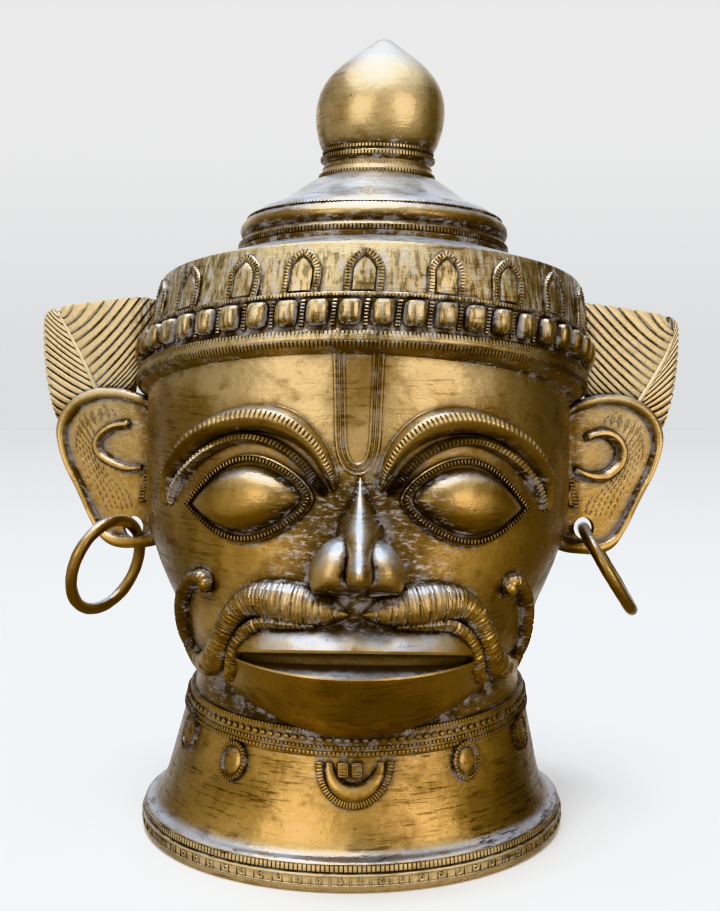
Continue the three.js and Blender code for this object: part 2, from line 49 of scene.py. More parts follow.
HEAD_SIDE = radians(0.8)  # and to the side
HEAD_FOOT = np.array([-0.6, 0.0, 9.8])  # the point of the head that stands on the middle of the rim
NARROWS_Z = 150  # the head narrows upwards, about a point at this height
NARROWS_DEPTH = 606  # and this far before it
NARROWS_SHARE = 0.075  # by this much for each such distance of height
JAW_RISE = 21  # how much higher the jaw's edge is at the sides than at the chin
JAW_RISE_TOP = 112
CHIN_Z = 56

# height, depth to the front, half width
HEAD_LEVELS = np.array(
    [
        (56, 72, 46), (57.5, 86, 56.5), (61, 94, 63.5), (68, 101, 69), (83, 104.5, 75.5), (97, 104, 79),
        (110, 100, 82.5), (127, 97.5, 89.5), (148, 96, 94.5), (213, 95.5, 94.6),
    ],
    float,
)
NECK_TAPER = 0.27
NECK_LEAN = 0.055  # shift to the side for each unit of height above the rim
NECK_RIM_Z = 14
COLLAR_DIP = 5  # how much lower the collar is in front than at its sides
COLLAR_RADIUS = 75
NECK_DIPS = (22, 48)  # the neck takes up the dip between these heights
NECK_CONE = ([21.5, 47.4], [82.4, 75.2])  # heights, and the radius at each
# height, slope of a ring up towards the front
TILT = np.array(
    [
        (188, 0.13), (197, 0.11), (206, 0.085), (222, 0.085), (244, 0.06), (266, -0.02),
        (300, -0.08), (362, -0.08),
    ]
)
# height, shift to the side
LEAN = np.array([(196, 1), (214, 2.6), (226, 4.2), (244, 4.8), (290, 6.5), (362, 9.5)], float)

SIDES = (-1, 1)  # the mask's own right, on the left of the picture, and its left
PEARLS = 50
PEARL_SPAN = 108  # degrees from the front
PEARL_Z = 213.4
ARCH_ANGLES = [-68, -50, -31, -16, -1.5, 17.5, 34, 51, 69]
ARCH_Z = 222.6
ARCH_HEIGHT = 19
EYE_INNER, EYE_OUTER = 21.6, 64.8  # the corners, from the middle of the face
EYE_Z, EYE_DROP = 150.2, -2.6  # the inner corner, and how the outer one lies to it
EYE_UP, EYE_DOWN = 13.8, 11.8
NOSE_X = 1.2  # the nose is a little to one side
LIP_HALF = 46.5  # half the mouth's width
EAR_ROOT_X, EAR_ROOT_Y = 92, 6
EAR_SWEEP = radians(22)  # how far the ears are swept back
EAR_PLATE = 1.7  # from the plate's middle to its back
EAR_SHIFT = 1.2  # the left ear is this much further out
HOLE_X, HOLE_Z, HOLE_UNEVEN, HOLE_RADIUS = 103.2, 137.4, 1.2, 5.0
HOOP_RADIUS = 21.6
HOOP_WIRE = 2.85  # half its thickness
PENDANT_RADIUS = 78  # of the neck where the pendants hang
RIM_FACE = 92.7  # radius of the rim's engraved band

# Sizes of the fine relief
THREAD = 1.6  # pitch of the hatched wax threads and bead rows
RIM_HATCH = 1.75  # pitch of the teeth round the rim
EYE_BEAD = 1.35  # pitch of the strokes on the rim and lid of an eye
HAIR = 1.4  # pitch of the strokes of the moustache


def unit(v):
    """Vectors made one long."""
    return v / np.maximum(np.linalg.norm(v, axis=-1, keepdims=True), 1e-9)


def stack(x, y, z):
    """Points from their three parts. A part may be one number for all of them."""
    return np.stack(np.broadcast_arrays(np.asarray(x, float), y, z), -1)


def circle(n, start=0):
    """Angles all round, in radians, from a share of a step."""
    return 2 * pi * (np.arange(n) + start) / n


def polar(turn, radius, z):
    """A place by its turn from the front about the upright axis, its radius and its height."""
    return stack(radius * np.sin(turn), -radius * np.cos(turn), z)


def ring_steps(loop):
    """The way along a closed loop of places at each of them."""
    return np.roll(loop, -1, 0) - np.roll(loop, 1, 0)


def smooth(rows, n):
    """Rows of numbers made into a smooth run of n + 1 rows."""
    rows = np.asarray(rows, float)
    place = np.linspace(0, len(rows) - 1, n + 1)
    start = np.minimum(place.astype(int), len(rows) - 2)
    a, b, c, d = (rows[np.clip(start + step, 0, len(rows) - 1)] for step in (-1, 0, 1, 2))
    t = (place - start)[:, None]
    cubic = (3 * b - a - 3 * c + d) * t**3
    return 0.5 * (2 * b + (c - a) * t + (2 * a - 5 * b + 4 * c - d) * t**2 + cubic)


def spaced(rows, pitch):
    """A smooth path through rows whose first columns are a place, cut at a nearly even pitch."""
    fine = smooth(rows, 24 * (len(rows) - 1))
    steps = np.linalg.norm(np.diff(fine[:, :2], axis=0), axis=1)
    length = np.concatenate([[0], np.cumsum(steps)])
    at = np.linspace(0, length[-1], max(3, round(length[-1] / pitch) + 1))
    return np.stack([np.interp(at, length, fine[:, k]) for k in range(fine.shape[1])], -1)


# Places


def settle(p):
    """The tilt and lean of the crown, dome and bud."""
    x, y, z = np.moveaxis(p, -1, 0)
    return stack(x + np.interp(z, *LEAN.T), y, z - y * np.interp(z, *TILT.T))


def stand(p):
    """A point of the head set on the neck."""
    x, y, z = np.moveaxis(np.asarray(p, float), -1, 0)
    k = 1 - NARROWS_SHARE * z / NARROWS_DEPTH
    q = stack(k * x, k * (y + NARROWS_DEPTH) - NARROWS_DEPTH, NARROWS_Z + k * (z - NARROWS_Z)) - HEAD_FOOT
    x, y, z = np.moveaxis(q, -1, 0)
    x, z = x * cos(HEAD_SIDE) + z * sin(HEAD_SIDE), z * cos(HEAD_SIDE) - x * sin(HEAD_SIDE)
    return stack(x, y * cos(HEAD_BACK) + z * sin(HEAD_BACK), z * cos(HEAD_BACK) - y * sin(HEAD_BACK))


def bend(p):
    """The lean of the neck, and the collar's dip at the front."""
    x, y, z = np.moveaxis(np.asarray(p, float), -1, 0)
    level, full = NECK_DIPS
    share = np.clip((z - level) / (full - level), 0, 1)
    rise = COLLAR_DIP * share * (y + COLLAR_RADIUS) / COLLAR_RADIUS
    return stack(x + NECK_LEAN * np.maximum(0, z - NECK_RIM_Z), y, z + np.clip(rise, 0, COLLAR_DIP))


LEVELS = smooth(HEAD_LEVELS, 90)


def head_radii(level):
    """Depth to the front and half width of the head's oval at a level."""
    return np.interp(level, LEVELS[:, 0], LEVELS[:, 1]), np.interp(level, LEVELS[:, 0], LEVELS[:, 2])


def head_point(angle, level, inset=0):
    """Points of the head's oval at a level, which the jaw lifts at the sides."""
    front, side = head_radii(level)
    front, side = front - inset, side - inset
    fade = np.clip((JAW_RISE_TOP - level) / (JAW_RISE_TOP - CHIN_Z), 0, 1)
    depth = np.where(np.cos(angle) > 0, front, side)
    return stack(side * np.sin(angle), -depth * np.cos(angle), level + JAW_RISE * fade * np.sin(angle) ** 2)


def on_face(x, z, lift=0.0):
    """Points over the face's surface in the front view, and their outward normals."""
    x, z, lift = np.broadcast_arrays(np.asarray(x, float), np.asarray(z, float), lift)
    level = z
    for _ in range(5):
        front, side = head_radii(level)
        share = np.clip(x / side, -0.985, 0.985)
        fade = np.clip((JAW_RISE_TOP - level) / (JAW_RISE_TOP - CHIN_Z), 0, 1)
        level = z - JAW_RISE * fade * share**2
    y = -front * np.sqrt(1 - share**2)
    normal = unit(stack(share / side, y / front**2, 0))
    return stack(share * side, y, z) + normal * lift[..., None], normal


def on_crown(angle, radius, z):
    """Points of a turned part of the crown or dome, by angle from the front in degrees."""
    turn = np.radians(angle)
    return settle(polar(turn, radius, z))


def on_neck(angle, z, lift=0.0):
    """Points over the neck's cone, by angle from the front in degrees, and their outward normals."""
    turn = np.radians(angle)
    normal = unit(polar(turn, 1, NECK_TAPER))
    radius = np.interp(z, *NECK_CONE)
    return bend(polar(turn, radius, z) + normal * np.asarray(lift)[..., None]), normal


def ear_normal(side):
    """The way out from the front of an ear's plate."""
    return np.array([side * sin(EAR_SWEEP), -cos(EAR_SWEEP), 0])


def on_ear(side, x, z, out):
    """Points of an ear or fan: distance from the axis in the front view, height, out from the plate."""
    shift = EAR_SHIFT if side > 0 else 0
    x, z, out = np.broadcast_arrays(np.asarray(x, float), z, out)
    y = EAR_ROOT_Y + (x - EAR_ROOT_X) * np.tan(EAR_SWEEP)
    return stack(side * x + shift, y, z) + ear_normal(side) * out[..., None]


# Shells: each is a closed surface of points, quads and triangles


def facing_out(points, quads, tris):
    """A shell with its faces turned outwards."""
    halves = np.concatenate([quads[:, :3], quads[:, [0, 2, 3]], tris])
    a, b, c = (points[halves[:, k]] for k in range(3))
    if np.einsum("ij,ij->i", a, np.cross(b, c)).sum() < 0:
        quads, tris = quads[:, ::-1], tris[:, ::-1]
    return points, quads, tris


def tube_faces(m, n):
    """Faces of a tube of m rings of n points, closed at each end to one of two last points."""
    at = np.arange(m * n).reshape(m, n)
    beside = np.roll(at, -1, 1)
    quads = np.stack([at[:-1], beside[:-1], beside[1:], at[1:]], -1).reshape(-1, 4)
    first = np.stack([beside[0], at[0], np.full(n, m * n)], -1)
    last = np.stack([at[-1], beside[-1], np.full(n, m * n + 1)], -1)
    return quads, np.concatenate([first, last])


def loft(rings, tips=None):
    """A shell through closed rings of points, with its ends closed at their middles or at tips."""
    rings = np.asarray(rings)
    ends = rings[[0, -1]].mean(1) if tips is None else np.asarray(tips, float)
    points = np.concatenate([rings.reshape(-1, 3), ends])
    return facing_out(points, *tube_faces(*rings.shape[:2]))


def turned(profile, around, place=lambda p: p):
    """A turned solid about the upright axis, from rows of radius and height."""
    profile = np.asarray(profile, float)
    rows = profile[profile[:, 0] > 0]
    rings = polar(circle(around), rows[:, :1], rows[:, 1:])
    tips = np.array([(0, 0, rows[0, 1]), (0, 0, profile[-1, 1])])
    return loft(place(rings), place(tips))


def laid(path, normals, aside, up):
    """A shell along a path on a surface, from its sections' offsets aside and up from it."""
    normals = np.broadcast_to(normals, path.shape)
    across = unit(np.cross(unit(np.gradient(path, axis=0)), normals))
    return loft(path[:, None] + across[:, None] * aside[..., None] + normals[:, None] * up[..., None])


def cord(path, normals, width, height, sides=8, bed=BED):
    """A cord laid on a surface. Width is half its width, and height is how far it stands out."""
    width, height = (np.broadcast_to(v, len(path))[:, None] for v in (width, height))
    turn = circle(sides, 0.5)
    rise = np.sin(turn)
    up = np.where(rise > 0, rise * height, rise * np.minimum(bed, height))
    return laid(path, normals, width * np.cos(turn), up)


def studs(points, normals, along, long, wide, high, around=6, sunk=0.8, shoulder=0.78):
    """Small domes or blocks set on a surface, one to a point: half lengths, half widths and heights."""
    points = np.atleast_2d(points)
    n = len(points)
    normals = np.broadcast_to(normals, points.shape)
    along = unit(np.broadcast_to(along, points.shape))
    across = unit(np.cross(normals, along))
    along = np.cross(across, normals)
    long, wide, high = (np.broadcast_to(v, n)[:, None] for v in (long, wide, high))
    turn = circle(around, 0.5)
    u, v = np.cos(turn), np.sin(turn)
    if around == 4:
        u, v = np.sign(u), np.sign(v)
    rings = []
    for scale, lift in ((1.0, -sunk / np.maximum(high, 1e-6)), (shoulder, 0.8)):
        flat = along[:, None] * (scale * long * u)[..., None]
        flat = flat + across[:, None] * (scale * wide * v)[..., None]
        rings.append(points[:, None] + flat + normals[:, None] * (lift * high)[..., None])
    rings = np.stack(rings, 1).reshape(n, 2 * around, 3)
    foot = points - normals * sunk
    top = points + normals * high
    shells = np.concatenate([rings, foot[:, None], top[:, None]], 1)
    _, quads, tris = facing_out(shells[0] - points[0], *tube_faces(2, around))
    step = (np.arange(n) * (2 * around + 2))[:, None, None]
    return shells.reshape(-1, 3), (quads + step).reshape(-1, 4), (tris + step).reshape(-1, 3)


def blender_object(name, shells, place=stand):
    """One object from shells given in the head's or the neck's own frame."""
    points, faces, used = [], [], 0
    for shell_points, quads, tris in shells:
        points.append(place(shell_points))
        faces += (quads + used).tolist()
        faces += (tris + used).tolist()
        used += len(shell_points)
    vertices = (np.concatenate(points) - MIDDLE) * 0.001
    mesh = bpy.data.meshes.new(name)
    mesh.from_pydata(vertices.tolist(), [], faces)
    mesh.update()
    piece = bpy.data.objects.new(name, mesh)
    bpy.context.collection.objects.link(piece)
    return piece


def combine(target, operation, shell, place=stand):
    """Joins a shell to an object, or cuts it away."""
    tool = blender_object("tool", [shell], place)
    modifier = target.modifiers.new("combine", "BOOLEAN")
    modifier.operation = operation
    modifier.solver = "MANIFOLD"
    modifier.object = tool
    graph = bpy.context.evaluated_depsgraph_get()
    mesh = bpy.data.meshes.new_from_object(target.evaluated_get(graph))
    target.modifiers.clear()
    old = target.data
    target.data = mesh
    bpy.data.meshes.remove(old)
    bpy.data.objects.remove(tool)


# Turned profiles: radius and height

NECK_PROFILE = [
    (90.6, 0), (91.9, 0.35), (92.6, 1.3), (92.9, 2.6), (92.6, 3.1), (92.8, 6.7), (93.2, 7.1),
    (92.9, 7.6), (91.2, 7.8), (91.2, 10.9), (90.9, 11.3),
    *smooth([(89.6, 11.9), (87.6, 12.9), (85.4, 15.5), (82.6, 21.5), (79.2, 33), (75.4, 46.8)], 16),
    (75.2, 47.6), (75.5, 48.3), (75.2, 50.4), (74.6, 52.5), (74, 54.6), (73.4, 56.8), (71.8, 57.8),
    (66, 72),
]
CROWN_PROFILE = [
    (95, 194.5),
    *smooth([(97.5, 196.4), (100.2, 199), (101.2, 202), (100.4, 205), (99, 206.8)], 8),
    (98.6, 207.6), (98.4, 219), (99.2, 219.6), (99.5, 220.4), (99, 221.3), (97.7, 221.8), (97.5, 223),
    (94.9, 243.2), (94.4, 244.4),
    *smooth([(93.2, 245.2), (84, 249.4), (72, 254.6), (60, 259.5)], 6),
]
BUD = [
    (24.8, 309), (26.8, 312), (28.9, 320), (29.4, 329), (26.9, 338.6), (20.4, 347.4), (10.6, 355.4),
    (3.4, 360.8),
]
DOME_PROFILE = [
    (61.6, 250), (62, 257), (62.2, 261.4), (60.6, 262), (60.4, 265.2), (59.4, 266.6),
    *smooth([(59.1, 267.4), (60.2, 268.8), (60.7, 271), (60.1, 273.4), (58.4, 275.4)], 8),
    *smooth([(57.6, 276.3), (52.4, 280.6), (43.4, 284.6), (36, 290), (29.6, 294.6), (26.4, 296)], 10),
    (25.6, 298.4), (24.4, 301.6), (24.3, 302.6), (25.4, 304.2), (25.3, 306), (24.4, 307.2),
    *smooth(BUD, 19),
    (0, 362),
]
CROWN_INSIDE = [
    (93, 188), (93, 222), (89.8, 241), (57.5, 254.6), (55.5, 272), (39, 281), (22.4, 295), (22, 311),
    (24.8, 329), (17, 345), (0, 355),
]
NECK_INSIDE = [(86.6, -1), (86.6, 9), (79.6, 17), (68, 58), (62, 76)]


def casting():
    """The plain casting: head, neck, crown and dome, hollow and open behind."""
    body = blender_object("mask", [loft(head_point(circle(104)[None, :], LEVELS[::2, :1]))])
    combine(body, "UNION", turned(NECK_PROFILE, 120), bend)
    corners = [(-160, -20), (160, -20), (160, 400), (-160, 400)]
    behind = [[(x, y, z) for x, z in corners] for y in (BACK_Y, BACK_Y + 200)]
    combine(body, "DIFFERENCE", loft(behind), np.asarray)
    combine(body, "UNION", turned(CROWN_PROFILE, 128, settle))
    combine(body, "UNION", turned(DOME_PROFILE, 72, settle))
    for side in SIDES:
        combine(body, "UNION", fan(side))
        combine(body, "UNION", ear_shell(side))
    lowest = CHIN_Z + WALL
    levels = np.array([lowest, *[z for z in HEAD_LEVELS[:, 0] if z > lowest + WALL]])
    inset = np.where(levels == lowest, 2 * WALL, WALL)
    combine(body, "DIFFERENCE", loft(head_point(circle(48)[None, :], levels[:, None], inset[:, None])))
    combine(body, "DIFFERENCE", turned(CROWN_INSIDE, 48, settle))
    combine(body, "DIFFERENCE", turned(NECK_INSIDE, 48), bend)
    for side in SIDES:
        combine(body, "DIFFERENCE", lobe_pin(side))
    return body


# The face


def eye(side):
    """The eyeball, a plain rim and its row of beads."""
    around = 68
    i = np.arange(around)
    t = 1 - np.abs(1 - 2 * i / around)
    run = 0.5 - 0.5 * np.cos(pi * t)
    upper = 2 * i < around
    mid_x, mid_z = (EYE_INNER + EYE_OUTER) / 2, EYE_Z + EYE_DROP / 2
    almond = np.sin(pi * run) ** (0.62 + 0.36 * run)

    def outline(margin, oval=0.0):
        rise = np.where(upper, EYE_UP + margin, -EYE_DOWN - margin)
        x = EYE_INNER - 1.15 * margin + run * (EYE_OUTER - EYE_INNER + 2 * margin)
        return x, EYE_Z + EYE_DROP * run + rise * (almond + oval * (np.sin(pi * t) - almond))

    # margin, share of the eye's size, lift, how oval
    rows = [
        (4.8, 1, -BED, 0), (4.8, 1, 0.5, 0), (4.5, 1, 2.0, 0), (4.0, 1, 2.4, 0), (3.6, 1, 1.7, 0),
        (1.9, 1, 1.8, 0), (1.5, 1, 0.8, 0), (0.4, 1, 0.6, 0), (0, 1, 1.6, 0), (0, 0.96, 2.9, 0.1),
        (0, 0.88, 4.5, 0.3), (0, 0.77, 6.2, 0.5), (0, 0.62, 7.8, 0.75), (0, 0.44, 8.9, 0.95),
        (0, 0.22, 9.5, 1),
    ]
    rings = []
    for margin, share, lift, oval in rows:
        x, z = outline(margin, oval)
        rings.append(on_face(side * (mid_x + share * (x - mid_x)), mid_z + share * (z - mid_z), lift)[0])
    x, z = outline(2.75)
    path = spaced(np.stack([np.append(x, x[0]), np.append(z, z[0])], -1), EYE_BEAD)[:-1]
    place, normal = on_face(side * path[:, 0], path[:, 1], 1.6)
    beads = studs(place, normal, ring_steps(place), 0.4 * EYE_BEAD, 1.2, 1.5, around=6)
    return [loft(rings), beads]


def brow(side):
    """The arched brow with its combed crest, and the hatched cord of the lid."""
    # upper edge, lower edge and height of the brow, then the lid's middle line and height
    rows = [
        (81, 148, 78.6, 147, 2, 77.2, 146.5, 2), (79.6, 161, 75.6, 158.6, 4, 72.6, 156.4, 3.6),
        (69.5, 175, 65.6, 168.5, 6, 63, 166, 4.4), (54, 184, 52.6, 174.6, 7, 52, 172, 4.8),
        (38, 187, 40.6, 176, 7.5, 41.6, 173.8, 4.8), (24, 183.5, 28.6, 173.5, 7.5, 30.6, 170.8, 4.6),
        (14, 174, 18.6, 167, 6.5, 21, 163.8, 4.2), (8.6, 163, 12.4, 158, 5, 15.2, 156, 3.6),
        (7.4, 155, 9.6, 152.5, 3, 12, 151.5, 2),
    ]
    strokes = 60
    per_stroke = 4
    steps = per_stroke * strokes
    x0, z0, x1, z1, crest, x2, z2, lid = smooth(rows, steps).T
    phase = np.arange(steps + 1) / per_stroke
    off = phase - np.round(phase)
    cut = np.exp(-((off / 0.17) ** 2)) * np.clip(8 * np.sin(pi * phase / strokes), 0, 1)
    dx, dz = x1 - x0, z1 - z0
    # share of the way from the upper to the lower edge, lift, lift as a share of the crest, cut
    profile = [
        (0, -BED, 0, 0), (0, 0.2, 0, 0), (0.07, 0, 0.42, 0), (0.18, 0, 0.72, 0), (0.25, 0, 0.85, 0),
        (0.29, 0, 0.9, 0.9), (0.38, 0, 0.97, 1), (0.48, 0, 1, 0.8), (0.54, 0, 0.98, 0),
        (0.67, 0, 0.88, 0), (0.8, 0, 0.62, 0), (0.92, 0, 0.36, 0), (1, 0.3, 0.05, 0),
        (1.04, -BED, 0, 0),
    ]
    rings = [
        on_face(side * (x0 + share * dx), z0 + share * dz, fixed + part * crest - 0.75 * depth * cut)[0]
        for share, fixed, part, depth in profile
    ]
    ridge = loft(np.stack(rings, 1))
    path, normal = on_face(side * x2, z2 - 0.2)
    wave = np.cos(pi * np.arange(steps + 1) / 2)  # a hatch to every four steps
    taper = np.clip(8 * np.sin(pi * np.arange(steps + 1) / steps), 0.25, 1)
    lid_cord = cord(path, normal, (2 + 0.25 * wave) * taper, (lid - 0.3 + 0.65 * wave) * taper, sides=7)
    edge, edge_normal = on_face(side * (x0 + 0.02 * dx), z0 + 0.02 * dz - 0.2)
    rim = cord(edge[8:-8:4], edge_normal[8:-8:4], 0.55, 0.75, sides=6, bed=0.6)
    return [ridge, lid_cord, rim]


def under_nose(points):
    """Points of the nose kept above its flat underside, which slopes, and out of the hollow behind."""
    x, y, z = points.T
    x = x + NOSE_X
    z = np.maximum(z, np.interp(-y, [98, 116, 130], [112.5, 118.6, 119.4]))
    return stack(x, np.minimum(y, on_face(x, z, -BED)[0][:, 1]), z)


def nose():
    """A straight crest down to a round tip, and a round wing on each side of it."""
    # height, half width at the face, half width near the crest, depth of the crest
    rows = [
        (158.5, 0.6, 0.5, 96.8), (155.5, 2, 0.9, 99.4), (151, 4.4, 1.3, 103.2), (146, 7, 1.7, 107.4),
        (141, 8.8, 2.1, 111.8), (136.5, 9.8, 2.5, 116.2), (133, 8.8, 2.8, 119.4), (129, 6.8, 3.2, 123),
        (126, 6, 3.7, 126.2), (123.4, 5.8, 4.1, 128.4), (120.8, 5.6, 4, 128.7),
        (118.4, 5.2, 3.4, 126.4), (112, 4.4, 2.4, 118),
    ]
    rings = []
    for z, base, half, depth in smooth(rows, 44):
        skin = -on_face(0, z)[0][1]
        proud = depth - skin
        right = [
            (base, -5),
            (base, -0.4),
            (0.62 * base + 0.4 * half, 0.42 * proud),
            (0.28 * base + 0.66 * half, 0.76 * proud),
            (0.1 * base + 0.42 * half, 0.94 * proud),
        ]
        left = [(-x, out) for x, out in reversed(right)]
        outline = smooth([*right, (0, proud), *left], 30)
        rings.append([(x, -skin - out, z) for x, out in outline])
    points, *faces = loft(rings)
    shells = [(under_nose(points), *faces)]
    # side, place, half width and half height of each wing
    for side, middle, wide, tall in ((-1, 9.6, 9.6, 13.8), (1, 8.8, 8.9, 12.6)):
        points, *faces = ball((0, 0, 0), (wide, 15.2, tall), 32, 20)
        lean = 0.2 * np.maximum(points[:, 2], 0)
        points = points + stack(side * (middle - lean), -102.5, 122.5)
        shells.append((under_nose(points), *faces))
    return shells


def ball(middle, radii, around, rows):
    """A ball or egg with its own radius along each axis."""
    turn = circle(around)
    rise = np.linspace(-pi / 2, pi / 2, rows + 2)[1:-1, None]
    rings = stack(np.cos(rise) * np.cos(turn), np.cos(rise) * np.sin(turn), np.sin(rise))
    tips = np.array([(0, 0, -1), (0, 0, 1)])
    return loft(rings * radii + middle, tips * radii + middle)


def combed_cord(side, rows, start, sides=16, slant=0.9, deep=0.95):
    """A strand of hair on the face, cut by slanting strokes, shallow above and deeper along its low edge.
    Rows are place, half width and height. Deep is the depth of a stroke."""
    per_stroke = 4
    x, z, width, height = spaced(rows, HAIR / per_stroke).T[..., None]
    turn = circle(sides, 0.5)
    low = side * np.cos(turn)
    i = np.arange(len(x))[:, None]
    waver = 0.35 * np.sin(0.13 * i + start)
    phase = i / per_stroke + slant * low + waver + 0.2 * np.sin(0.31 * i + 3 * low)
    off = phase - np.round(phase)
    cut = np.exp(-((off / 0.17) ** 2)) * (np.sin(turn) > -0.1)
    uneven = 0.7 + 0.3 * np.sin(1.9 * np.round(phase) + start)
    fade = np.clip(np.minimum(i, len(x) - 1 - i) / 10, 0, 1)
    depth = deep * uneven * (0.8 + 0.2 * low) * cut * fade
    keep = 1 - depth / np.maximum(height, 3)
    up = np.where(np.sin(turn) > 0, np.sin(turn) * height, np.sin(turn) * BED)
    path, normals = on_face(side * x[:, 0], z[:, 0])
    return laid(path, normals, keep * width * np.cos(turn), keep * up)


def moustache(side):
    """One half of the moustache: the full lobe, a low strand inside it, and the curl up the cheek.
    Rows are place, half width and height."""
    lobe = [
        (2.8, 106.8, 1.2, 3), (10.5, 107.6, 5.8, 6), (21, 109.4, 9, 8), (31, 111, 8.6, 8),
        (40, 110, 6.8, 7.2), (46.6, 104, 6, 6.6), (50.5, 96, 6, 6.2), (54.5, 88, 6.2, 6),
    ]
    curl = [
        (60.4, 82.4, 5.6, 5.8), (66.4, 85.4, 4.6, 5.3), (70, 92, 3.8, 5), (71.2, 99.6, 3.4, 5),
        (70.8, 107, 3.3, 5), (68.2, 113.8, 3.3, 5.1), (63.8, 117.9, 3.4, 5.3), (59.6, 117.8, 3.6, 5.6),
        (57.6, 115, 2.6, 4.6),
    ]
    closer = (lambda x: 0.75 * x + 16) if side > 0 else (lambda x: x)
    inner = [
        (15, 102.2, 1.2, 3.2), (26, 102.6, 2.7, 4.2), (35.4, 102.6, 3.2, 4.2), (42, 98.2, 3.5, 4.2),
        (46, 91.6, 3.7, 4.2), (48.2, 84, 3.3, 3.8), (50, 78.5, 2, 2.8),
    ]
    end_x, end_z = closer(58.4), 115.4
    middle, normal = on_face(side * end_x, end_z, 2.2)
    return [
        combed_cord(side, lobe + [(closer(x), *rest) for x, *rest in curl], 0),
        combed_cord(side, inner, 2, sides=10, slant=0.7),
        ball(middle, (3.4, 3.4, 3.4), 20, 12),
    ]


def lips():
    """The chin's full curve, both lips and the slit between them, from corner to corner."""
    share = np.linspace(-1, 1, 90)
    s = np.abs(share)
    full = np.sqrt(1 - 0.92 * s * s)
    foot = 66 + 12 * s * s
    edge = 83.2 + 4.6 * s * s
    low, high = 87.6 - s * s, 92.4 - 2.8 * s * s
    top = 101.5 - 3.6 * s**3 + 4 * np.maximum(0, 1 - 4 * s) ** 1.4
    zero = np.zeros_like(s)
    section = [
        (foot, zero - BED),
        (foot, zero + 0.2),
        (foot + 0.33 * (edge - foot), 1.5 * full),
        (foot + 0.66 * (edge - foot), 3.2 * full),
        (edge - 1.9, 5.0 * full),
        (edge - 0.8, 5.9 * full),
        (edge - 0.1, 6.6 * full),
        (edge + 0.7, 6.3 * full),
        (edge + 0.5 * (low - edge), 4.2 * full),
        (low, 1.9 * full),
        (low + 0.4, 0.5 * full),
        (high - 0.2, zero + 0.3),
        (high + 0.2, 4.6 * full),
        (high + 0.8, 5.9 * full),
        (high + 1.8, 6.2 * full),
        (high + 0.35 * (top - high), 5.4 * full),
        (high + 0.7 * (top - high), 3.2 * full),
        (top, 0.6 + 0 * full),
        (top, zero - BED),
    ]
    rings = [on_face(LIP_HALF * share, z, lift)[0] for z, lift in section]
    return [loft(np.stack(rings, 1))]


def tilak():
    """The forehead mark: a long U of three raised lines."""
    shells = []
    for inset, width, high in ((-0.3, 0.72, 0.7), (1.5, 0.45, 0.7), (3.3, 0.72, 0.7)):
        half = [(9.2 - inset, 207), (8.6 - inset, 190), (8 - inset, 173)]
        half += [(6.6 - 0.9 * inset, 166 + 0.3 * inset), (4 - 0.6 * inset, 161.6 + 0.8 * inset)]
        half.append((0, 160 + inset))
        rows = half + [(-x, z) for x, z in reversed(half[:-1])]
        path = spaced(rows, 2)
        place, normal = on_face(path[:, 0], path[:, 1], -0.1)
        shells.append(cord(place, normal, width, high, sides=8, bed=0.8))
    return shells


# The neck


def neck_turns(radius, count=None, pitch=None):
    """Angles round the neck, up to 2 degrees short of its open back, by their count or pitch."""
    reach = degrees(atan2(BACK_Y, radius)) + 88
    count = count or int(2 * radians(reach) * radius / pitch)
    return np.radians(np.linspace(-reach, reach, count))


def rows_on_neck(z, radius, pitch, half_height, high, around=6, long_share=0.46, sunk=0.8):
    """A row of beads or teeth round the neck, in front of the open back."""
    turn = neck_turns(radius, pitch=pitch)
    point = bend(polar(turn, radius, z))
    normal = unit(polar(turn, 1, 0.1))
    along = stack(np.cos(turn), np.sin(turn), 0)
    return studs(point, normal, along, long_share * pitch, half_height, high, around=around, sunk=sunk)


def neck_detail():
    """The rim's teeth and engraved band, and the rows of the collar."""
    shells = [rows_on_neck(9.35, 91.1, RIM_HATCH, 1.45, 1.0, around=4)]
    # height, radius, pitch, half height, how high and corners of each row of the collar
    for z, radius, pitch, tall, high, around in (
        (49.3, 75.3, 1.7, 0.8, 0.8, 4), (51.5, 74.7, 1.7, 0.85, 0.9, 6), (54.2, 74, 3.5, 1.1, 1.2, 8),
        (57, 72.9, 1.5, 1.0, 0.7, 4),
    ):
        shells.append(rows_on_neck(z, radius, pitch, tall, high, around=around))
    cell = 7.6  # the rim band's squares, each with an upright stroke on both sides and a ring in it
    shells.append(rows_on_neck(5, RIM_FACE, cell / 2, 1.9, 0.5, around=4, long_share=0.08, sunk=0.5))
    turn = neck_turns(RIM_FACE, count=90)
    for z in (3.2, 6.8):
        path = bend(polar(turn, RIM_FACE + 0.05, z))
        shells.append(cord(path, polar(turn, 1, 0), 0.3, 0.4, sides=6, bed=0.4))
    for turn in neck_turns(RIM_FACE, pitch=cell):
        middle = bend(polar(turn, RIM_FACE + 0.05, 5))
        level, upright = np.array([cos(turn), sin(turn), 0]), np.array([0, 0, 1.0])
        shells.append(wire_loop(middle, level, upright, 0.95, 0.42, 8, 5))
    return shells


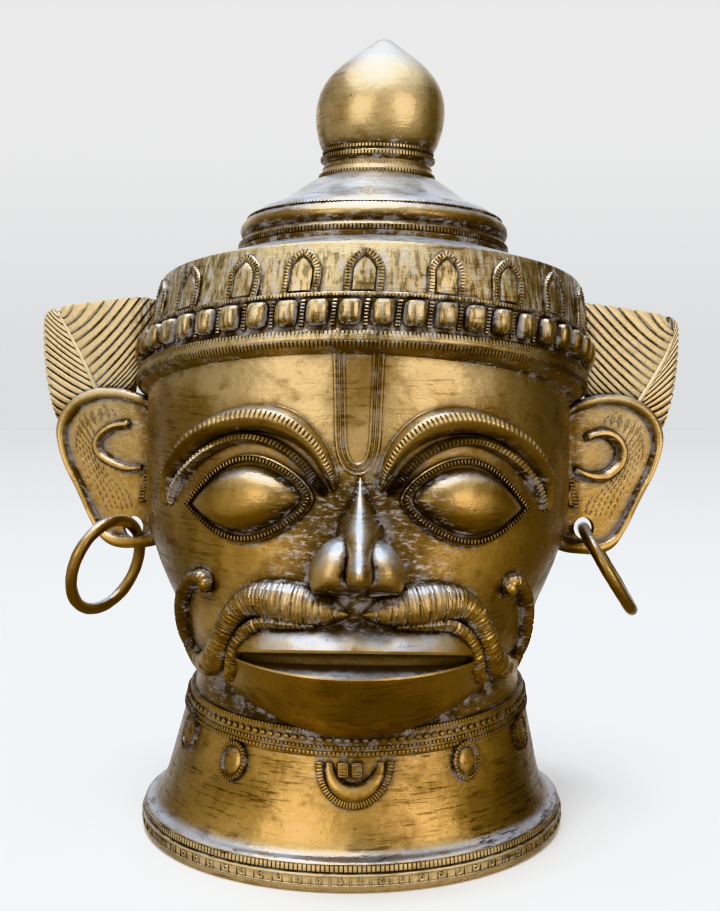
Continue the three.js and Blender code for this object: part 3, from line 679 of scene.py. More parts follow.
def pendants():
    """The medallions and the crescent that hang from the collar, with their hatched borders."""
    shells = []
    # a medallion's rings, by their share of its size and their lift from the neck
    rounds = [(1, -BED), (1, 0.9), (0.97, 1.5), (0.78, 1.6)]
    rounds += [(0.73, 1.0), (0.68, 0.9), (0.6, 1.4), (0.3, 1.7)]
    # angle from the front, height, half width and half height
    medallions = [(-65.3, 43.6, 7, 6.8), (-39.2, 41, 6.9, 7.4), (35.4, 42.2, 6.8, 7.4), (65, 43.6, 7, 6.8)]
    for angle, z, width, height in medallions:

        def oval(turn, scale, lift):
            across = np.degrees(width * scale * np.cos(turn) / PENDANT_RADIUS)
            return on_neck(angle + across, z + height * scale * np.sin(turn), lift)

        shells.append(loft([oval(circle(40), scale, lift)[0] for scale, lift in rounds]))
        place, normal = oval(circle(30), 0.88, 1.4)
        shells.append(studs(place, normal, ring_steps(place), 0.48, 0.85, 0.7, around=4, sunk=0.5))
    run = np.linspace(0, 1, 81)
    turn = -pi * (0.02 + 0.96 * run)
    taper = 0.4 + 0.6 * np.sin(pi * run)

    def below_collar(width, height):
        across = np.degrees(width * np.cos(turn) / PENDANT_RADIUS)
        return on_neck(across, 46.6 + height * np.sin(turn))

    shells.append(cord(*below_collar(10.6, 12), 4.2 * taper, 3 * taper, sides=14))
    out, out_normal = below_collar(14.2, 16.4)
    shells.append(cord(out, out_normal, 1.7, 1.6, sides=8))
    along = np.gradient(out, axis=0)
    lifted = out + 1.3 * out_normal
    shells.append(studs(lifted[::2], out_normal[::2], along[::2], 0.36, 1.4, 0.75, around=4, sunk=0.8))
    for across in (-4.6, 0.9):
        angle = degrees(across / PENDANT_RADIUS)
        place, normal = on_neck(angle, 43.2, 0.2)
        shells.append(studs(place, normal, (1, 0, 0), 2.3, 3.2, 1.3, around=4, sunk=1.2, shoulder=0.85))
        place, normal = on_neck(np.full(5, angle), 43.2 + np.linspace(-2.4, 2.4, 5), 1.2)
        shells.append(studs(place, normal, (1, 0, 0), 1.7, 0.3, 0.6, around=4, sunk=0.6))
    return shells


# The crown and dome


def crown_row(radius, z, pitch, half_height, high, span=180.0, slope=0.0):
    """A row of teeth round the crown or dome, up to a span in degrees on each side of the front."""
    count = int(2 * radians(span) * radius / pitch)
    angle = np.linspace(-span, span, count, endpoint=span < 180)
    point = on_crown(angle, radius, z)
    normal = unit(polar(np.radians(angle), 1, slope))
    along = on_crown(angle + 0.5, radius, z) - point
    return studs(point, normal, along, 0.42 * pitch, half_height, high, around=4)


def crown_detail():
    """The rows of teeth, the pearls with bead columns between them, and the arches."""
    plain_from = PEARL_SPAN + 3.6
    shells = [
        crown_row(100.2, 199.3, THREAD, 1.5, 1.1, plain_from, slope=-0.5),
        crown_row(100.0, 204.2, THREAD, 1.5, 1.1, plain_from, slope=0.3),
        crown_row(99.2, 220.4, 1.4, 0.75, 0.6, plain_from),
        crown_row(60.3, 263.6, THREAD, 1.4, 1.1),
        crown_row(57.4, 276.6, 1.6, 0.6, 0.7, slope=0.9),
        crown_row(25.6, 297.2, 1.5, 1.0, 1.1),
        crown_row(24.4, 300.6, 1.4, 0.7, 0.7),
        crown_row(25.2, 305.2, 1.5, 1.1, 1.1),
        crown_row(24.6, 308.4, 1.5, 0.9, 1.0),
    ]
    pitch = 360 / PEARLS
    angles = (np.arange(PEARLS) + 0.5) * pitch - 180
    for angle in angles[np.abs(angles) < PEARL_SPAN]:
        shells.append(pearl(angle))
    gaps = np.arange(-15, 16) * pitch
    normal = polar(np.radians(gaps), 1, 0)
    for row in range(8):
        place = on_crown(gaps, 98.4, PEARL_Z + 1.32 * (row - 3.5))
        along = on_crown(gaps + 1, 98.4, PEARL_Z) - on_crown(gaps, 98.4, PEARL_Z)
        shells.append(studs(place, normal, along, 1.15, 0.5, 1.5, around=4))
    for angle in ARCH_ANGLES:
        shells += arch(angle)
    return shells


def pearl(angle):
    """A rounded square pearl of the crown."""
    turn = circle(16, 0.5)
    u = np.sign(np.cos(turn)) * np.abs(np.cos(turn)) ** 0.5
    v = np.sign(np.sin(turn)) * np.abs(np.sin(turn)) ** 0.5
    # radius, half width and half height
    rounds = [(96.6, 4.5, 5.1), (99.6, 4.5, 5.1), (101.4, 4.25, 4.8)]
    rounds += [(102.6, 3.6, 4.1), (103.2, 2.4, 2.8), (103.5, 1.0, 1.2)]
    rings = []
    for radius, across, up in rounds:
        rings.append(on_crown(angle + np.degrees(across * u / radius), radius, PEARL_Z + up * v))
    return loft(rings)


def arch(angle):
    """A pointed arch with a hatched border round a raised panel, standing on the crown's thread line."""
    foot = -1.2
    half = np.array([(7.5, foot), (7.7, 5), (7.6, 9.6), (6.4, 13.4), (3.4, 17), (0, ARCH_HEIGHT)])
    panel = np.array([(4.7, foot), (4.7, 5), (4.7, 9.4), (3.5, 12), (1.8, 14.2), (0, 15.8)])

    def closed(side_points):
        right = np.concatenate([[(side_points[0, 0] / 2, foot)], side_points])
        return np.concatenate([right, right[:-1][::-1] * (-1, 1), [(0, foot)]])

    def raised(shape, lift):
        z = ARCH_Z + shape[:, 1]
        wall = np.interp(z, [222.2, 244.2], [97.6, 94.6])
        return on_crown(angle + np.degrees(shape[:, 0] / wall), wall + lift, z)

    outer, inner = closed(half), closed(panel)
    # the border by its share of the way inwards, then the panel by its share of its size, with their lifts
    mixes = [(0, -BED), (0, 1.0), (0.12, 1.4), (0.88, 1.4), (1, 0.7)]
    rings = [raised(outer + share * (inner - outer), lift) for share, lift in mixes]
    centre = np.array([0, 6])
    mixes = [(0.96, 0.6), (0.86, 1.2), (0.5, 1.4)]
    rings += [raised(centre + share * (inner - centre), lift) for share, lift in mixes]
    plate = loft(rings)
    side_line = 0.52 * half + 0.48 * panel
    border = spaced(np.concatenate([side_line, side_line[:-1][::-1] * (-1, 1)]), 1.45)[1:-1]
    place = raised(border, 1.2)
    along = np.gradient(place, axis=0)
    teeth = studs(place, polar(radians(angle), 1, 0), along, 0.5, 1.25, 0.8, around=4, sunk=0.5)
    return [plate, teeth]


# The ears and fans

# distance from the axis and height, round the ear's outline
EAR_RIM = [
    (88, 188), (96, 193.5), (109, 198), (123, 198), (134.5, 192), (139.8, 181), (136.5, 167),
    (129, 153), (121.5, 139), (115, 131), (104, 129), (88, 134), (82, 160), (88, 188),
]
EAR_MIDDLE = np.array([112, 166])


def ear_shell(side):
    """The ear's thin plate and its rolled rim."""
    rim = smooth(EAR_RIM, 91)[:-1]
    # share of the outline's size, out from the plate
    rows = [
        (0.7, -EAR_PLATE), (0.97, -EAR_PLATE), (1.02, -1.2), (1.055, -0.2), (1.07, 1.2), (1.067, 2.8),
        (1.05, 4.0), (1.02, 4.8), (0.99, 4.9), (0.955, 4.5), (0.925, 3.5), (0.91, 1.9), (0.9, 0.8),
        (0.6, 0.7), (0.3, 0.7),
    ]
    rings = []
    for share, out in rows:
        outline = EAR_MIDDLE + share * (rim - EAR_MIDDLE)
        rings.append(on_ear(side, *outline.T, out))
    return loft(rings)


def hole_place(side):
    """Where the hole through the lobe is, which is a little higher in the left ear."""
    return HOLE_X, HOLE_Z + HOLE_UNEVEN * side


def lobe_pin(side):
    """What is cut away for the hole."""
    x, z = hole_place(side)
    turn = circle(28)
    x, z = x + HOLE_RADIUS * np.cos(turn), z + HOLE_RADIUS * np.sin(turn)
    return loft([on_ear(side, x, z, out) for out in (-20, 20)])


# place and half width of the curl in each ear
CURLS = {
    -1: [
        (106.4, 183.6, 2.1), (111.9, 183.2, 2.4), (116.9, 180.9, 2.6), (120.6, 177.2, 2.6),
        (121.3, 173.2, 2.6), (119.6, 169.6, 2.5), (116.2, 167, 2.4), (111.5, 164.8, 2.3),
        (105.5, 163.2, 2.1), (99, 163.6, 1.5),
    ],
    1: [
        (104.1, 180.6, 2.0), (108.6, 182.2, 2.5), (113.8, 182.4, 2.9), (118.6, 179.6, 3.1),
        (121.2, 174.1, 3.2), (119.7, 168.5, 3.2), (116.2, 164.7, 3.1), (111.7, 162.4, 3.0),
        (104.7, 162.6, 2.6), (98, 165.5, 1.8),
    ],
}


def ear_detail(side):
    """The curl inside the ear with its small ball, the hatched leaf before it, and engraved strokes."""
    normal = ear_normal(side)
    path = smooth(CURLS[side], 54)
    place = on_ear(side, *path[:, :2].T, 0.4)
    spiral = cord(place, normal, path[:, 2], 1.5 * path[:, 2], sides=12, bed=1.4)
    x, z, size = CURLS[side][0]
    knob = ball(on_ear(side, x + 0.4, z, 1.3), (1.05 * size, 1.1 * size, 1.05 * size), 18, 10)
    across, up = np.array([1.0, 0, 0]), np.array([0, 0, 1.0])
    leaf = studs(on_ear(side, 97.4, 154.2, 0.6), normal, up + 0.25 * side * across, 7.6, 3.6, 1.8, around=8)
    rungs = np.linspace(148.6, 160, 8)
    bar_places = on_ear(side, 97.4 + 0.25 * (154.2 - rungs), rungs, 2.0)
    bars = studs(bar_places, normal, across, 1.9, 0.45, 0.8, around=4)
    # fine strokes, evenly scattered: across the helix above, then down towards the lobe
    stroke = np.arange(150)
    run = (stroke * 0.618034) % 1
    inward = (stroke * 0.754878) % 1
    outline = smooth([(119, 192), (131, 187), (134, 178), (131, 166), (124, 153), (117, 143)], 50)
    bound = smooth([(112, 189), (122, 184), (124, 173), (117, 161), (107, 153), (102, 146)], 50)
    down_line = unit(np.gradient(outline, axis=0))
    at = np.linspace(0, 1, 51)
    lines = (outline, bound, down_line)
    start, aim, down = (np.stack([np.interp(run, at, part) for part in rows.T], -1) for rows in lines)
    place = start + (aim - start) * (0.05 + 0.95 * inward)[:, None]
    lean = unit(aim - start) * (0.9 - run)[:, None]
    lean = lean + down * (0.2 + 0.9 * run + 0.25 * np.sin(40 * inward))[:, None]
    direction = side * lean[:, :1] * across + lean[:, 1:] * up
    lay = on_ear(side, *place.T, 0.75)
    strokes = studs(lay, normal, direction, 1.3 - 0.6 * run, 0.22, 0.4, around=4)
    return [spiral, knob, leaf, bars, strokes]


MIDRIBS = {
    -1: [(122, 199), (128, 211), (136, 225), (143, 237)],
    1: [(130, 198), (137, 209), (144, 221), (149, 233)],
}


def fan(side):
    """The feathered fan above an ear: veins that leave a midrib and end in a toothed edge."""
    veins = 17
    per_vein = 6
    n = veins * per_vein
    inward_foot = smooth([(104, 199), (113, 199.6), *MIDRIBS[side]], n)
    outward_foot = smooth([(141, 186), (133, 193), *MIDRIBS[side]], n)
    inward_end = smooth([(103, 205), (95, 220), (90, 235), (98, 241.6), (116, 242), (140.6, 240.4)], n)
    outward_end = [(143.4, 187), (147.4, 201), (149.6, 215), (150.4, 227), (150, 236), (146, 239.6)]
    outward_end = smooth(outward_end, n)
    phase = np.arange(n + 1) / per_vein
    vein = np.minimum(1, 1.7 * np.abs(np.sin(pi * phase)))
    reach = 0.968 + 0.047 * vein
    under_rim = np.clip(1 - np.arange(n + 1) / (0.1 * n), 0, 1)
    under_ear = np.clip(1.6 - 4.2 * np.arange(n + 1) / n, 0, 1)
    rings = []

    def veined(foot, end, shares, bow):
        """Rings from the foot of the veins to their ends, at shares of the way, bent by the bow."""
        for t in shares:
            far = np.minimum(t, 1) * (reach if t > 0.9 else 1)
            place = foot + (end - foot) * np.broadcast_to(far, n + 1)[:, None]
            place = place + np.array([0, bow * 4 * t * (1 - t)])
            edge = 0.3 if t > 0.95 else 1
            lift = 0.9 + 1.05 * edge * vein * min(1, 10 * t)
            rings.append(on_ear(side, *place.T, lift - 1.6 * under_rim))

    veined(inward_foot, inward_end, (1, 0.93, 0.8, 0.6, 0.4, 0.2, 0.08), -2.4)
    for foot in (inward_foot, outward_foot):
        rings.append(on_ear(side, *foot.T, 1.4 - 1.8 * under_ear))
    veined(outward_foot, outward_end, (0.08, 0.2, 0.4, 0.6, 0.8, 0.93, 1), -1)
    for foot, end in ((outward_foot, outward_end), (inward_foot, inward_end)):
        place = foot + (end - foot) * reach[:, None]
        rings.append(on_ear(side, *place.T, -1.5))
    return loft(np.stack(rings, 1))


def fan_midrib(side):
    """The thin cord that the veins of a fan leave from."""
    place = on_ear(side, *smooth(MIDRIBS[side], 30).T, 1.3)
    thick = np.linspace(1.3, 0.6, 31)
    return cord(place, ear_normal(side), thick, thick, sides=8, bed=0.8)


# The hoops


def wire_loop(middle, u, v, radius, wire, around, sides):
    """A closed loop of wire in the plane of two directions. Wire may vary round the loop."""
    turn, section = circle(around), circle(sides)
    wire = np.broadcast_to(wire, around)[:, None]
    out = radius + wire * np.cos(section)
    radial = u * np.cos(turn)[:, None] + v * np.sin(turn)[:, None]
    rings = middle + radial[:, None] * out[..., None] + np.cross(u, v) * (wire * np.sin(section))[..., None]
    at = np.arange(around * sides).reshape(around, sides)
    beside, next_ring = np.roll(at, -1, 1), np.roll(at, -1, 0)
    quads = np.stack([at, beside, np.roll(next_ring, -1, 1), next_ring], -1).reshape(-1, 4)
    points = rings.reshape(-1, 3)
    _, quads, tris = facing_out(points - middle, quads, np.zeros((0, 3), int))
    return points, quads, tris


def hoop(side, down, deep, slipped):
    """A hammered hoop through a lobe. Down and deep are its plane, and it has slipped round the hole."""
    x, z = hole_place(side)
    u = unit(np.array(down, float))
    v = np.array(deep, float)
    v = unit(v - u * (v @ u))
    middle = on_ear(side, x, z, 0) + u * HOOP_RADIUS * cos(slipped) - v * HOOP_RADIUS * sin(slipped)
    turn = circle(120)
    hammered = 0.06 * np.sin(7 * turn) + 0.05 * np.sin(11 * turn + 2) + 0.03 * np.sin(23 * turn + 1)
    return wire_loop(middle, u, v, HOOP_RADIUS, HOOP_WIRE - 0.12 + hammered, 120, 20)


# Pieces


def smooth_shading(piece):
    """Shades a piece smooth, but for edges sharper than 35 degrees."""
    for polygon in piece.data.polygons:
        polygon.use_smooth = True
    with bpy.context.temp_override(object=piece, active_object=piece, selected_editable_objects=[piece]):
        bpy.ops.object.shade_smooth_by_angle(angle=radians(35), keep_sharp_edges=False)


def join_to(base, extras):
    """Joins further objects to one, as loose shells in its mesh."""
    both = [base, *extras]
    with bpy.context.temp_override(
        object=base, active_object=base, selected_objects=both, selected_editable_objects=both
    ):
        bpy.ops.object.join()


mask = casting()
head_shells = [*nose(), *lips(), *tilak(), *crown_detail()]
for side in SIDES:
    head_shells += [*eye(side), *brow(side), *moustache(side), *ear_detail(side), fan_midrib(side)]
details = blender_object("details", head_shells)
neck_pieces = blender_object("neck_detail", [*neck_detail(), *pendants()], np.asarray)
join_to(mask, [details, neck_pieces])
right_hoop = blender_object("ear_hoop_right_wire", [hoop(-1, (-0.38, 0, -0.92), (0.44, 0.88, -0.18), 0.36)])
left_hoop = blender_object("ear_hoop_left_wire", [hoop(1, (0.52, 0, -0.85), (0.14, 0.99, 0.08), 0.09)])
mask.name = "mask_casting"
for piece in (mask, right_hoop, left_hoop):
    smooth_shading(piece)


# Materials


class Value:
    """A number or colour that nodes work out. Its sums and products are further nodes."""

    def __init__(self, graph, socket):
        self.graph = graph
        self.socket = socket

    def __add__(self, other):
        return self.graph.maths("ADD", self, other)

    def __sub__(self, other):
        return self.graph.maths("SUBTRACT", self, other)

    def __rsub__(self, other):
        return self.graph.maths("SUBTRACT", other, self)

    def __mul__(self, other):
        return self.graph.maths("MULTIPLY", self, other)

    def capped(self):
        """The same sum or product, kept from 0 to 1."""
        self.socket.node.use_clamp = True
        return self

    def step(self, low, high, to_low=0.0, to_high=1.0):
        """A smooth rise from one value to another as this one goes from low to high."""
        values = {"Value": self, "From Min": low, "From Max": high, "To Min": to_low, "To Max": to_high}
        return self.graph.add("ShaderNodeMapRange", values, interpolation_type="SMOOTHSTEP")

    def within(self, low, low_full, high_full, high):
        """1 between two limits, and a smooth fall to 0 outside them."""
        return self.step(low, low_full) * self.step(high, high_full)


class Graph:
    """The nodes of a material or world, made by name. Place is the coordinates they start from."""

    def __init__(self, tree, place):
        self.tree = tree
        self.place = self.add("ShaderNodeTexCoord", output=place)

    def add(self, kind, values=None, output=0, **settings):
        """The output of a new node, from the values of its inputs and its settings."""
        node = self.tree.nodes.new(kind)
        for key, value in settings.items():
            setattr(node, key, value)
        for key, value in (values or {}).items():
            self.put(node.inputs[key], value)
        return Value(self, node.outputs[output])

    def put(self, socket, value):
        if isinstance(value, Value):
            self.tree.links.new(value.socket, socket)
        else:
            socket.default_value = value

    def parts(self, vector):
        """The three parts of a vector."""
        split = self.add("ShaderNodeSeparateXYZ", {"Vector": vector})
        return [Value(self, output) for output in split.socket.node.outputs]

    def noise(self, per_metre, detail=3, stretch=(1, 1, 1), roughness=0.55):
        place = self.add("ShaderNodeMapping", {"Vector": self.place, "Scale": stretch})
        values = {"Vector": place, "Scale": per_metre, "Detail": detail, "Roughness": roughness}
        return self.add("ShaderNodeTexNoise", values)

    def maths(self, operation, a, b=0.0):
        return self.add("ShaderNodeMath", {0: a, 1: b}, operation=operation)

    def mix(self, share, a, b):
        """A blend of two colours, each given as red, green and blue or by other nodes."""
        a, b = (tint if isinstance(tint, Value) else (*tint, 1) for tint in (a, b))
        return self.add("ShaderNodeMix", {0: share, 6: a, 7: b}, 2, data_type="RGBA")

    def crease(self, reach):
        """0 in the open, up to 1 in a crease of the given width in metres."""
        kind = "ShaderNodeAmbientOcclusion"
        return 1.0 - self.add(kind, {"Distance": reach}, "AO", samples=8, only_local=True)

    def bump(self, height, strength, distance, under=None):
        values = {"Height": height, "Strength": strength, "Distance": distance}
        if under is not None:
            values["Normal"] = under
        return self.add("ShaderNodeBump", values)


# Where things are on the mask, in metres in its frame: where an edge starts and where it is full
BEYOND_HEAD = (0.096, 0.106)
CROWN_FOOT, CROWN_TOP = (0.208, 0.214), (0.242, 0.248)
NECK_TOP, NECK_FLANKS = (0.062, 0.045), (0.055, 0.085)
RIM_TOP = (0.0125, 0.0095)
FAN_FOOT = (0.182, 0.19)
FLANKS = (0.05, 0.092)
EYE_HEIGHTS, EYE_SPREAD = (0.132, 0.142, 0.16, 0.168), (0.016, 0.026, 0.064, 0.072)
LID_HEIGHTS, LID_SPREAD = (0.156, 0.164, 0.19, 0.198), (0.01, 0.016, 0.078, 0.086)
PROUD_DEPTH, PROUD_HEIGHTS = (-0.077, -0.086), (0.084, 0.088, 0.16, 0.166)
BY_NOSE_HEIGHTS, BY_NOSE_SPREAD = (0.114, 0.124, 0.152, 0.166), (0.042, 0.016)
BY_NOSE_DEPTH = (-0.088, -0.084)
MOUTH_HEIGHTS, MOUTH_SPREAD = (0.086, 0.0885, 0.096, 0.0985), (0.05, 0.044)

# Colours of the patina, and of the painted sheen and shade
YELLOWED = (0.86, 0.68, 0.4)
GREYED = (0.56, 0.48, 0.33)
STAIN = (0.14, 0.082, 0.03)
# painted sheen: the cool reflection of the sky on up-facing brass, with pale dust
DUST_AND_SKY_SHEEN = (0.48, 0.53, 0.61)
# dark scuffs, partly painted shade in the hollows
SCUFF_AND_SHADE = (0.075, 0.05, 0.028)
PALE_SCRATCH = (0.42, 0.44, 0.49)
# brown dirt, and the painted shade of the mouth's slit
DIRT_AND_SLIT_SHADE = (0.05, 0.031, 0.015)
DUST = (0.33, 0.3, 0.285)
GRIME = (0.022, 0.013, 0.007)
DARK_SCRATCH = (0.04, 0.025, 0.014)
PIT = (0.04, 0.024, 0.012)


def old_brass(name, bright, pale, brown, dusty):
    """Old cast brass: rubbed bright on the high forms, brown in patches, dark and dusty in creases, with
    painted shade in the deep hollows, on the flanks and in the mouth's slit, and a painted cool sheen where
    it faces up.
    """
    material = bpy.data.materials.new(name)
    material.use_nodes = True
    g = Graph(material.node_tree, "Object")
    # patterns, by how many of them there are to a metre, and creases, by their width
    broad = g.noise(22, 4)
    patches = g.noise(75, 5, (1, 1, 1.3), 0.65)
    grain = g.noise(420, 3)
    pits = g.noise(800, 2)
    crumbs = g.noise(130, 6, (1, 1, 1), 0.7)
    streaks = g.noise(62, 6, (1, 1, 12), 0.76)
    strokes = g.noise(60, 5, (9, 9, 1), 0.7)
    scratches = g.noise(150, 6, (1.6, 1, 4.5), 0.75)
    narrow = g.crease(0.0026)
    wide = g.crease(0.012)
    deep = g.crease(0.045)
    across, depth, height = g.parts(g.place)
    from_middle = g.maths("ABSOLUTE", across)
    upward = g.parts(g.add("ShaderNodeNewGeometry", output="Normal"))[2]

    # the ears and fans stand out beyond the head, and the crown's wall is a band of the height
    outer = from_middle.step(*BEYOND_HEAD)
    crown_wall = height.step(*CROWN_FOOT) - height.step(*CROWN_TOP)
    crown_wall = (crown_wall - outer).capped()
    on_neck = height.step(*NECK_TOP)
    rim = height.step(*RIM_TOP)
    fans = outer * height.step(*FAN_FOOT)
    eyes = height.within(*EYE_HEIGHTS) * from_middle.within(*EYE_SPREAD)
    # the nose, moustache and lips stand proud of the face, and beside the nose it is sunken
    proud = depth.step(*PROUD_DEPTH) * height.within(*PROUD_HEIGHTS) * (1.0 - eyes)
    beside_nose = height.within(*BY_NOSE_HEIGHTS) * from_middle.step(*BY_NOSE_SPREAD)
    beside_nose = beside_nose * depth.step(*BY_NOSE_DEPTH)
    mouth = height.within(*MOUTH_HEIGHTS) * from_middle.step(*MOUTH_SPREAD)
    lids = height.within(*LID_HEIGHTS) * from_middle.within(*LID_SPREAD)
    bare_lids = lids.step(0, 1, 1.0, 0.4)

    # tarnish in broad patches, then dark stains. The deep places and the flanks of the head and neck darken
    # too: partly tarnish, partly painted shade where shade falls in the hollows and the sides turn from the
    # light
    flank_tarnish_and_shade = (from_middle.step(*FLANKS) - outer).capped()
    tarnish = broad.step(0.42, 0.66, 0, 0.9) + flank_tarnish_and_shade * 0.6
    # partly painted shade: brown wherever the wide occlusion is deep, as under the chin and about the nose
    tarnish = (tarnish + deep.step(0.1, 0.5)).capped() + eyes * 0.45
    tarnish = (tarnish + on_neck * from_middle.step(*NECK_FLANKS, 0, 0.4)).capped()
    spared = outer * 0.85 + crown_wall * 0.55 + rim * 0.7
    tarnish = (tarnish - spared).capped()
    colour = g.mix(height.step(0.13, 0.2), bright, pale)
    colour = g.mix((fans + rim).capped() * 0.6, colour, YELLOWED)
    colour = g.mix(proud * 0.35, colour, GREYED)
    colour = g.mix(tarnish, colour, brown)
    # stains in patches, and darker on the flanks, where they are partly painted shade
    stained = patches.step(0.52, 0.7, 0, 0.5) + flank_tarnish_and_shade * 0.3
    colour = g.mix((stained - outer * 0.3).capped(), colour, STAIN)

    # painted sheen: a pale cool reflection of the sky, partly pale dust, where the surface faces up in the
    # open and on the up-facing tops of the nose, moustache and lips
    open_sky = upward.step(0.5, 0.95) * deep.step(0.34, 0.12)
    dust_and_sheen = open_sky * patches.step(0.3, 0.6, 0.6, 0.85)
    lifted = proud * upward.step(0.1, 0.8) * crumbs.step(0.38, 0.56, 0.2, 0.6)
    dust_and_sheen = (dust_and_sheen + lifted).capped()
    colour = g.mix(dust_and_sheen, colour, DUST_AND_SKY_SHEEN)

    # hollows beside the nose and under the chin are darkened, partly scuffs and partly painted shade, with
    # pale scratches
    hollow = (deep.step(0.16, 0.36) * bare_lids + beside_nose).capped()
    colour = g.mix(hollow * scratches.step(0.6, 0.44, 0.6, 0.95), colour, SCUFF_AND_SHADE)
    silvered = crown_wall * strokes.step(0.47, 0.39)
    scratched = (hollow * scratches.step(0.53, 0.6) + silvered * 0.8).capped()
    colour = g.mix(scratched * 0.75, colour, PALE_SCRATCH)

    # brown dirt over wide hollows with painted shade in the mouth's slit, pale dust on the dirt in patches,
    # and dark grime in the narrow creases
    dirt_and_slit_shade = wide.step(0.12, 0.55, 0, 0.65) * grain.step(0.2, 0.6, 0.5, 1.0)
    dirt_and_slit_shade = dirt_and_slit_shade * crown_wall.step(0, 1, 1.0, 0.55) * bare_lids
    # painted shade: the mouth's slit darkened where it lies in the lips' crease
    dirt_and_slit_shade = (dirt_and_slit_shade + mouth * wide.step(0.1, 0.4, 0, 0.7)).capped()
    colour = g.mix(dirt_and_slit_shade, colour, DIRT_AND_SLIT_SHADE)
    loose = crumbs + (crown_wall + outer) * 0.05
    dust = wide.step(0.14, 0.36) * loose.step(0.48, 0.58) * bare_lids * (1.0 - mouth) * dusty
    colour = g.mix(dust, colour, DUST)
    grime = narrow.step(0.26, 0.56) * patches.step(0.4, 0.6, 1.0, 0.6)
    colour = g.mix(grime, colour, GRIME)

    # dark scratches: level ones in patches and thick on the neck, upright ones on the crown's wall
    thick = on_neck * from_middle.step(0.02, 0.06, 0.1, 0.5)
    where = (broad.step(0.45, 0.6, 0.05, 0.7) + thick).capped()
    level = (streaks.step(0.53, 0.6) * where - outer * 0.7).capped()
    upright = strokes.step(0.5, 0.58) * crown_wall
    streaked = (level + upright * 0.8).capped()
    colour = g.mix(streaked * 0.8, colour, DARK_SCRATCH)
    pitted = pits.step(0.68, 0.76)
    colour = g.mix(pitted * 0.7, colour, PIT)

    rough = patches.step(0.3, 0.72, 0.22, 0.38) + dirt_and_slit_shade * 0.3 + dust * 0.35 + streaked * 0.12
    rough = (rough + proud * 0.1).capped()
    metal = 1.0 - dust * 0.9 - scratched * 0.5 - dust_and_sheen * 0.3
    metal = (metal - (fans + rim).capped() * 0.35 - dirt_and_slit_shade * 0.5).capped()

    normal = g.bump(broad, 0.6, 0.002)
    normal = g.bump(patches, 0.4, 0.0007, normal)
    normal = g.bump(streaks, 0.45, 0.0003, normal)
    normal = g.bump(grain, 0.4, 0.0002, normal)
    normal = g.bump(pitted, -0.5, 0.0004, normal)
    shader = material.node_tree.nodes["Principled BSDF"].inputs
    g.put(shader["Base Color"], colour)
    g.put(shader["Metallic"], metal)
    g.put(shader["Roughness"], rough)
    g.put(shader["Normal"], normal)
    return material


def dress(piece, made):
    """Gives a piece one material."""
    piece.data.materials.clear()
    piece.data.materials.append(made)
    for polygon in piece.data.polygons:
        polygon.material_index = 0


dress(mask, old_brass("cast_brass", (0.66, 0.43, 0.16), (0.72, 0.56, 0.31), (0.33, 0.21, 0.085), 0.8))
wire_brass = old_brass("hoop_brass", (0.42, 0.28, 0.12), (0.42, 0.28, 0.12), (0.2, 0.125, 0.055), 0.2)
dress(right_hoop, wire_brass)
dress(left_hoop, wire_brass)

for piece, node, slot in (
    (mask, "mask", "cast_brass"),
    (right_hoop, "ear_hoop_right", "hoop_brass"),
    (left_hoop, "ear_hoop_left", "hoop_brass"),
):
    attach(piece, "root")
    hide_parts(node)

# Floor, light and camera

bpy.ops.mesh.primitive_plane_add(size=6, location=(0, 0, 0))
floor = bpy.context.object
floor.name = "floor"
floor_material = bpy.data.materials.new("pale_floor")
floor_material.use_nodes = True
floor_material.node_tree.nodes["Principled BSDF"].inputs["Base Color"].default_value = (0.88, 0.86, 0.83, 1)
floor.data.materials.append(floor_material)
floor.visible_glossy = False  # the brass mirrors the dim room there, not a lit floor

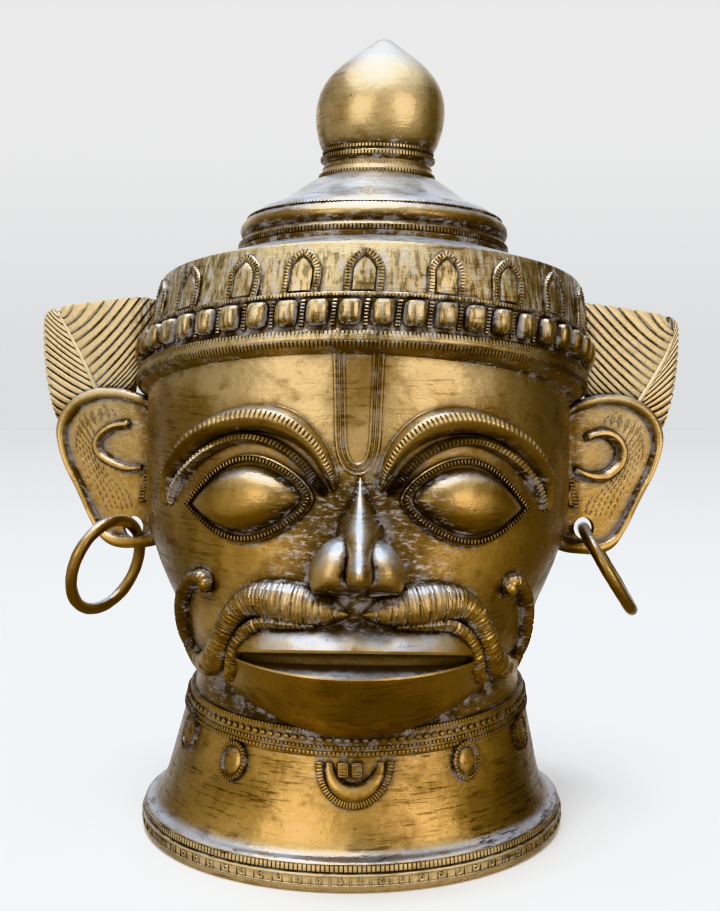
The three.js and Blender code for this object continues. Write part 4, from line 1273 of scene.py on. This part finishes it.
# A big cool light above and a little in front, like a skylight, and two soft warm ones before the face:
# name, place, size, power and colour
for name, place, size, power, tint in (
    ("top_light", (-0.1, -0.15, 1.3), 0.7, 22, (0.84, 0.92, 1.0)),
    ("left_light", (-0.9, -1.4, 0.6), 0.9, 5, (1.0, 0.92, 0.8)),
    ("right_light", (1.1, -1.3, 0.5), 0.8, 5, (1.0, 0.9, 0.78)),
):
    lamp = bpy.data.lights.new(name, "AREA")
    lamp.size, lamp.energy, lamp.color = size, power, tint
    light = bpy.data.objects.new(name, lamp)
    light.location = place
    bpy.context.collection.objects.link(light)
    aim = np.array([0, 0, 0.17]) - np.array(place)
    light.rotation_euler = (atan2(np.hypot(aim[0], aim[1]), -aim[2]), 0, atan2(aim[1], aim[0]) - pi / 2)

# The room: pale behind, bright and cool above, dimmer and warmer in front
world = bpy.data.worlds.new("soft_room")
bpy.context.scene.world = world
world.use_nodes = True
room = Graph(world.node_tree, "Generated")
x, y, z = room.parts(room.place)
beside = room.mix(x.step(-0.9, 0.3), (0.46, 0.45, 0.43), (0.14, 0.12, 0.1))
front = room.mix(y.step(-0.6, 0.3), (0.6, 0.54, 0.45), beside)
front = room.mix(z.step(-0.8, -0.25), (0.19, 0.145, 0.09), front)
far = room.mix(z.step(-0.03, 0.2), (0.76, 0.775, 0.79), (0.9, 0.9, 0.9))
around = room.mix(y.step(0.6, 0.92), front, far)
sky = room.mix(z.step(0.4, 0.85), around, (1.05, 1.13, 1.26))
room.put(world.node_tree.nodes["Background"].inputs["Color"], sky)
bpy.context.scene.view_settings.view_transform = "Khronos PBR Neutral"

# The camera fitted to the photograph, with its lens as a count of the picture's pixels
LENS_PIXELS = 1333
PICTURE_HEIGHT = 911
CAMERA_PLACE = (-0.00037, -0.57738, 0.20585)
LOOKS_DOWN = 4.39  # degrees
camera = bpy.data.cameras.new("camera")
camera.sensor_width = 36
camera.lens = LENS_PIXELS / PICTURE_HEIGHT * 36
viewer = bpy.data.objects.new("camera", camera)
viewer.location = CAMERA_PLACE
viewer.rotation_euler = (radians(90 - LOOKS_DOWN), 0, 0)
bpy.context.collection.objects.link(viewer)
bpy.context.scene.camera = viewer
